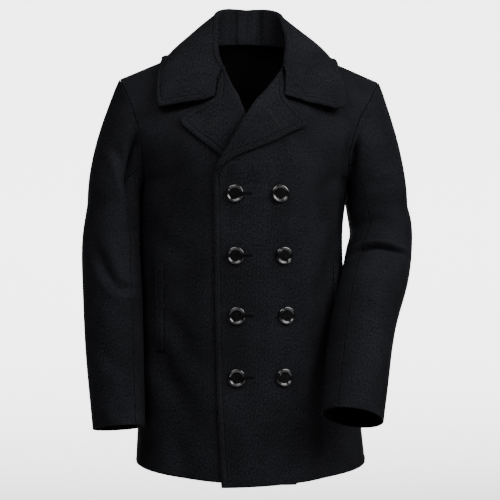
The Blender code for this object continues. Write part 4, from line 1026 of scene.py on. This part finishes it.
def sew_on_button(model, name, x, z, tree):
    """A copy of the button, with its own mesh, laid on the left front."""
    place, normal = onto(tree, x, z, BUTTON_LIFT)
    item = model.copy()
    item.data = model.data.copy()
    item.name = item.data.name = f"{name}_turned"
    bpy.context.scene.collection.objects.link(item)
    turn = Vector(normal).to_track_quat("Z", "Y").to_matrix().to_4x4()
    turn.translation = Vector(place)
    item.data.transform(turn)
    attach(item, "root")
    return item


def welt(name, side, tree, finishes):
    """The standing welt over a hand-warmer pocket, crowned between its edges and its end tacks."""
    cells = []
    for down in np.linspace(0, 1, 90):
        z = WELT_TOP - WELT_LENGTH * down
        row = []
        for across in np.linspace(-0.5, 0.5, 16):
            spot, out = onto(tree, side * (WELT_X[side] + WELT_WIDTH * across), z, REST)
            crown = WELT_CROWN * (1 - (2 * across) ** 2) * min(1, down / WELT_TACK, (1 - down) / WELT_TACK)
            row.append((spot + out * (WELT_THICK + crown), spot, out))
        cells.append(row)
    grid, inner, ways = np.moveaxis(np.array(cells), 2, 0)
    line = np.s_[3:-3, WELT_STITCH_COLUMN[side]]
    return shell(name, grid, inner, finishes, grain=hung_grain(grid)), (grid[line], ways[line])


def worked_buttonhole(name, start, end, tree, above, material):
    """A buttonhole worked in thread: close bars across a slit, with a rounded eye at one end."""
    start, end = np.array(start), np.array(end)
    long = np.linalg.norm(end - start)
    along = (end - start) / long
    across, ahead = np.array([-along[1], along[0]]), np.array([along[0], 0, along[1]])
    count = int(long / BAR_STEP)
    points, faces = [], []
    for side in (1, -1):
        for k in range(count):
            centre = start + along * long * (k + 0.5) / count
            eye = EYE_SWELL * math.sin(math.pi * max(0, 1 - k / (count * EYE_SHARE)))
            rings = []
            for t in np.linspace(0, 1, 4):
                spot = centre + across * side * (SLIT_HALF + eye + BAR_LONG * t)
                place, out = onto(tree, *spot, above + BAR_BOW * math.sin(math.pi * t))
                rings.append(ring_about(place, ahead, out, BAR_THREAD, 5))
            add_strand(points, faces, rings)
    item = new_piece(name, points, faces, [material])
    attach(item, "root")
    return item


def back_lining(grids, normals, finishes):
    """The lining of the upper back, one cloth thickness inside it."""
    rows = np.s_[row_of_key(LINING_KEY):row_of_key(NAPE_KEY) + 1, :-LINING_SHORT]
    faces = []
    for depth in (CLOTH + REST, CLOTH + REST + LINING):
        right, left = ((grids[name] - depth * normals[name])[rows] for name in ("back_right", "back_left"))
        faces.append(np.concatenate([right[:, :0:-1], left], axis=1))
    return shell("back_lining", faces[0], faces[1], finishes)


# ---- finishes -------------------------------------------------------------------------------

def plug(socket, value):
    """Sets a socket from a number or a colour, or links a wire to it."""
    if isinstance(value, Wire):
        value.tree.links.new(value.socket, socket)
    else:
        socket.default_value = value


class Wire:
    """A socket in a node tree, so that shader maths is written as Python expressions."""

    def __init__(self, tree, socket):
        self.tree, self.socket = tree, socket

    def node(self, kind, settings=(), **values):
        """A new node; its settings are set first, then its sockets from values or links."""
        made = self.tree.nodes.new(kind)
        for key, value in dict(settings).items():
            if key == "stops":
                while len(made.color_ramp.elements) < len(value):
                    made.color_ramp.elements.new(0.5)
                for stop, (place, colour) in zip(made.color_ramp.elements, value):
                    stop.position, stop.color = place, (*colour, 1)
            else:
                setattr(made, key, value)
        for key, value in values.items():
            socket = made.inputs[int(key[1:])] if key[0] == "i" and key[1:].isdigit() \
                else made.inputs[key.replace("_", " ")]
            plug(socket, value)
        return made

    def out(self, kind, socket=0, settings=(), **values):
        return Wire(self.tree, self.node(kind, settings, **values).outputs[socket])

    def maths(self, operation, *others):
        return self.out("ShaderNodeMath", 0, {"operation": operation},
                        **{f"i{k}": value for k, value in enumerate(others)})

    def __add__(self, other):
        return self.maths("ADD", self, other)

    __radd__ = __add__

    def __mul__(self, other):
        return self.maths("MULTIPLY", self, other)

    __rmul__ = __mul__

    def __sub__(self, other):
        return self.maths("SUBTRACT", self, other)

    def __rsub__(self, other):
        return self.maths("SUBTRACT", other, self)

    def axes(self):
        """Its x, y and z, each as a wire."""
        parts = self.node("ShaderNodeSeparateXYZ", {}, Vector=self)
        return [Wire(self.tree, parts.outputs[axis]) for axis in "XYZ"]

    def sine(self):
        return self.maths("SINE", self)

    def between(self, low, high):
        """0 at low and 1 at high, held beyond them."""
        return self.out("ShaderNodeMapRange", 0, {"interpolation_type": "SMOOTHSTEP"},
                        Value=self, From_Min=low, From_Max=high)

    def noise(self, scale, detail=2.0, roughness=0.5):
        return self.out("ShaderNodeTexNoise", 0, {}, Vector=self, Scale=scale, Detail=detail,
                        Roughness=roughness)

    def stretched(self, x, y, z):
        return self.out("ShaderNodeMapping", 0, {}, Vector=self, Scale=(x, y, z))

    def blend(self, low, high):
        """A colour between two, this wire being the share of the second."""
        return self.out("ShaderNodeMix", 2, {"data_type": "RGBA"}, Factor=self,
                        i6=(*low, 1) if isinstance(low, tuple) else low,
                        i7=(*high, 1) if isinstance(high, tuple) else high)

    def bump(self, strength, distance):
        return self.out("ShaderNodeBump", 0, {}, Height=self, Strength=strength, Distance=distance)


def new_finish(name):
    """A material with one Principled node, and wires for its place on the object and its weave."""
    material = bpy.data.materials.new(name)
    material.use_nodes = True
    tree = material.node_tree
    shader = tree.nodes["Principled BSDF"]
    start = Wire(tree, None)
    place = start.out("ShaderNodeTexCoord", "Object")
    weave = start.out("ShaderNodeUVMap", 0, {"uv_map": "weave"})
    return material, shader, place, weave


def feed(shader, **values):
    """Sets the sockets of a Principled node from numbers, colours or wires."""
    for key, value in values.items():
        plug(shader.inputs[key.replace("_", " ")], value)


def melton_finish():
    """Black melton: felted wool with a short nap and paler fibres that run mostly upright."""
    material, shader, place, weave = new_finish("melton")
    across, _, _ = weave.axes()
    wander = weave.stretched(60, 25, 1).noise(1, 2) * 0.0030
    ribs = ((across + wander) * (2 * math.pi / 0.0023)).sine() * 0.5 + 0.5
    fibre = weave.stretched(900, 300, 1).noise(1, 3, 0.65)
    fleck = weave.stretched(620, 250, 1).noise(1, 2, 0.6)
    nap = place.noise(2600, 2, 0.7)
    cloud = place.noise(14, 3, 0.55)
    tone = fibre * 0.38 + fleck * 0.50 + ribs * 0.12
    shade = tone.between(0.38, 0.64).blend((0.0012, 0.0012, 0.0015), (0.0125, 0.0129, 0.0152))
    worn = cloud.between(0.25, 0.80).blend((0.72, 0.72, 0.73), (1.20, 1.20, 1.22))
    colour = shade.out("ShaderNodeMix", 2, {"data_type": "RGBA", "blend_type": "MULTIPLY"},
                       Factor=1.0, i6=shade, i7=worn)
    relief = ribs * 0.15 + fibre * 0.35 + fleck * 0.30 + nap * 0.20
    feed(shader, Base_Color=colour, Roughness=(fibre * 0.14 + 0.80), Normal=relief.bump(0.60, 0.0007),
         Metallic=0.0, Specular_IOR_Level=0.03)
    return material


def lining_finish():
    """Smooth black twill, with its fine diagonal wale and a soft lustre."""
    material, shader, _, weave = new_finish("lining")
    across, up, _ = weave.axes()
    wale = ((across + up) * (2 * math.pi / 0.0011)).sine() * 0.5 + 0.5
    slub = weave.stretched(60, 700, 1).noise(1, 2, 0.6)
    colour = (wale * 0.5 + slub * 0.5).between(0.2, 0.9).blend((0.0008, 0.0008, 0.0009),
                                                                (0.0022, 0.0022, 0.0025))
    feed(shader, Base_Color=colour, Roughness=(slub * 0.20 + 0.55), Normal=wale.bump(0.3, 0.0002),
         Metallic=0.0, Specular_IOR_Level=0.06)
    return material


def thread_finish():
    """Black polyester thread, two plies twisted together."""
    material, shader, place, _ = new_finish("thread")
    twist = place.stretched(1, 1, 1.6).noise(2200, 1, 0.5)
    colour = twist.between(0.3, 0.7).blend((0.0030, 0.0030, 0.0034), (0.0110, 0.0110, 0.0122))
    feed(shader, Base_Color=colour, Roughness=0.62, Normal=twist.bump(0.5, 0.0002), Metallic=0.0,
         Specular_IOR_Level=0.2)
    return material


def button_finish():
    """Glossy moulded plastic, near black, with fine handling marks."""
    material, shader, place, _ = new_finish("button")
    marks = place.noise(1400, 4, 0.7)
    smear = place.noise(160, 2, 0.5)
    colour = smear.between(0.3, 0.7).blend((0.0016, 0.0016, 0.0018), (0.0034, 0.0033, 0.0036))
    feed(shader, Base_Color=colour, Roughness=(marks * 0.08 + 0.12), Normal=marks.bump(0.02, 0.0001),
         Metallic=0.0, Specular_IOR_Level=0.6, Coat_Weight=0.6, Coat_Roughness=0.05)
    return material


# ---- the whole coat -------------------------------------------------------------------------

# The cut of what shows of each cloth piece: its widest and longest, and its area.
Cut = namedtuple("Cut", "wide long area held rests_on")

LAPEL_BUTTONHOLES = (
    ("buttonhole_lapel_right", (-0.0919, -0.1573), (-0.0596, -0.1361)),
    ("buttonhole_lapel_left", (0.0159, -0.1228), (0.0363, -0.1531)),
)
BUTTONHOLE_FROM, BUTTONHOLE_TO = -0.004, 0.0290  # from the middle of a button, towards +X
ON_LAPEL, ON_FRONT = 0.0003, 0.0001  # how high the bars lie on the cloth
BAR_STEP, BAR_LONG, BAR_BOW, BAR_THREAD = 0.0007, 0.0016, 0.0005, 0.00036
SLIT_HALF, EYE_SWELL, EYE_SHARE = 0.0004, 0.0009, 0.16


def build_coat():
    """Every cloth piece, button, row of stitches and buttonhole."""
    melton, lining = melton_finish(), lining_finish()
    thread, gloss = thread_finish(), button_finish()
    outside, both = [melton], [melton, lining]
    grids, normals = body_panels()
    pieces, seams = {}, {}
    for name in ("front_right", "front_left"):
        pieces[name], seams[name] = front_shell(name, grids[name], normals[name], both)
    for name in ("back_right", "back_left"):
        pieces[name] = body_wall(name, grids[name], grids[name] - CLOTH * normals[name],
                                 ("first_column", "last_column", "last_row"), both)
    pieces["back_lining"] = back_lining(grids, normals, [lining])

    body = tree_of(*grids.values())
    for side, name, table, creases in ((1, "left", LEFT_RINGS, LEFT_SLEEVE_CREASES),
                                       (-1, "right", RIGHT_RINGS, RIGHT_SLEEVE_CREASES)):
        hole = armhole(grids[f"front_{name}"], grids[f"back_{name}"],
                       normals[f"front_{name}"], normals[f"back_{name}"])
        pieces.update(sleeve(side, name, table, hole, body, creases, both))

    left_front, right_front = tree_of(grids["front_left"]), tree_of(grids["front_right"])
    leaves = {}
    for name, table, front in (("lapel_right", RIGHT_LAPEL, right_front),
                               ("lapel_left", LEFT_LAPEL, left_front)):
        pieces[name], seams[name], leaves[name] = lapel(name, table, front, outside)
    pieces["collar"], seams["collar"], _ = collar(body, outside)
    for name, side, front in (("pocket_welt_left", 1, left_front), ("pocket_welt_right", -1, right_front)):
        pieces[name], seams[name] = welt(name, side, front, outside)
    for name, piece in pieces.items():
        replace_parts(piece, name)
    for name, (line, ways) in seams.items():
        stitches(f"stitches_{name}", line, ways, thread)

    model = button_model(gloss)
    for row, (right_x, left_x, z) in enumerate(BUTTON_ROWS, start=1):
        for name, x in ((f"button_right_{row}", right_x), (f"button_left_{row}", left_x)):
            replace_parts(sew_on_button(model, name, x, z, left_front), name)
        worked_buttonhole(f"buttonhole_front_{row}", (right_x + BUTTONHOLE_FROM, z),
                          (right_x + BUTTONHOLE_TO, z), left_front, ON_FRONT, melton)
    bpy.data.objects.remove(model)
    for name, start, end in LAPEL_BUTTONHOLES:
        leaf = tree_of(leaves[name.removeprefix("buttonhole_")])
        worked_buttonhole(name, start, end, leaf, ON_LAPEL, thread)


# ---- the camera, the floor and the light ----------------------------------------------------

VIEW_TURN = math.radians(-7.5)
VIEW_TARGET = Vector((0.002, 0, -0.365))
VIEW_FAR = 3.0
VIEW_WIDE = 0.9
FLOOR_END, BEND = 2.2, 1.2  # where the floor starts to curve up, and the radius of the curve
BACKDROP_GLOW = 4.0
BACKDROP_MIDDLE = (0.45, -0.36)  # x and z of the glow's middle
BACKDROP_LIT, BACKDROP_FADE = 1.35, 2.4  # its radius, and by how much the square of that grows
FLOOR_Z = -1.45  # a wearer's neck is this far above the floor


def camera():
    """A long lens, level with the middle of the coat and a little to its right."""
    data = bpy.data.cameras.new("camera")
    data.sensor_width = 36
    data.lens = data.sensor_width * VIEW_FAR / VIEW_WIDE
    data.clip_end = 50
    item = bpy.data.objects.new("camera", data)
    back = Vector((math.sin(VIEW_TURN), -math.cos(VIEW_TURN), 0))
    item.location = VIEW_TARGET + back * VIEW_FAR
    item.rotation_mode = "QUATERNION"
    item.rotation_quaternion = back.to_track_quat("Z", "Y")
    bpy.context.scene.collection.objects.link(item)
    bpy.context.scene.camera = item


def floor():
    """A plain pale floor that curves up into a backdrop, whose middle glows."""
    curve = [(FLOOR_END + BEND * math.sin(a), BEND - BEND * math.cos(a))
             for a in np.linspace(0.05, math.pi / 2, 16)]
    steps = [(-4.0, 0.0), (FLOOR_END, 0.0), *curve, (FLOOR_END + BEND, 6.0)]
    points = [(x, y, FLOOR_Z + z) for y, z in steps for x in (-7.0, 7.0)]
    faces = [(2 * i, 2 * i + 1, 2 * i + 3, 2 * i + 2) for i in range(len(steps) - 1)]
    material, shader, place, _ = new_finish("floor")
    x, y, z = place.axes()
    beside, above = x - BACKDROP_MIDDLE[0], z - BACKDROP_MIDDLE[1]
    off_middle = beside * beside + above * above
    near_middle = 1.0 - off_middle.between(BACKDROP_LIT ** 2, BACKDROP_FADE * BACKDROP_LIT ** 2)
    far = y.between(FLOOR_END + 0.2 * BEND, FLOOR_END + BEND) * near_middle
    feed(shader, Base_Color=(0.72, 0.72, 0.72, 1), Roughness=0.9, Emission_Strength=BACKDROP_GLOW,
         Emission_Color=far.blend((0.0, 0.0, 0.0), (1.0, 1.0, 1.0)))
    new_piece("floor", points, faces, [material])


WORLD_LIGHT = 0.02

# Soft boxes: where each stands, its width and height, and its power.
Lamp = namedtuple("Lamp", "name place wide high power")
LAMPS = (
    Lamp("key", (1.5, -1.6, 1.1), 1.7, 1.5, 112),
    Lamp("fill", (-1.0, -1.8, 1.35), 1.5, 1.1, 62),
    Lamp("top", (0.3, -0.1, 1.5), 1.0, 0.6, 10),
    Lamp("low", (1.7, -1.9, -1.2), 0.3, 0.3, 6),
)


def lights():
    for lamp in LAMPS:
        data = bpy.data.lights.new(lamp.name, "AREA")
        data.shape = "RECTANGLE"
        data.size, data.size_y, data.energy = lamp.wide, lamp.high, lamp.power
        item = bpy.data.objects.new(lamp.name, data)
        item.location = lamp.place
        away = Vector(lamp.place) - VIEW_TARGET
        item.rotation_mode = "QUATERNION"
        item.rotation_quaternion = away.to_track_quat("Z", "Y")
        bpy.context.scene.collection.objects.link(item)
    world = bpy.data.worlds.new("studio")
    world.use_nodes = True
    sky = world.node_tree.nodes["Background"].inputs
    plug(sky["Color"], (1, 1, 1, 1))
    plug(sky["Strength"], WORLD_LIGHT)
    bpy.context.scene.world = world


build_coat()
camera()
floor()
lights()
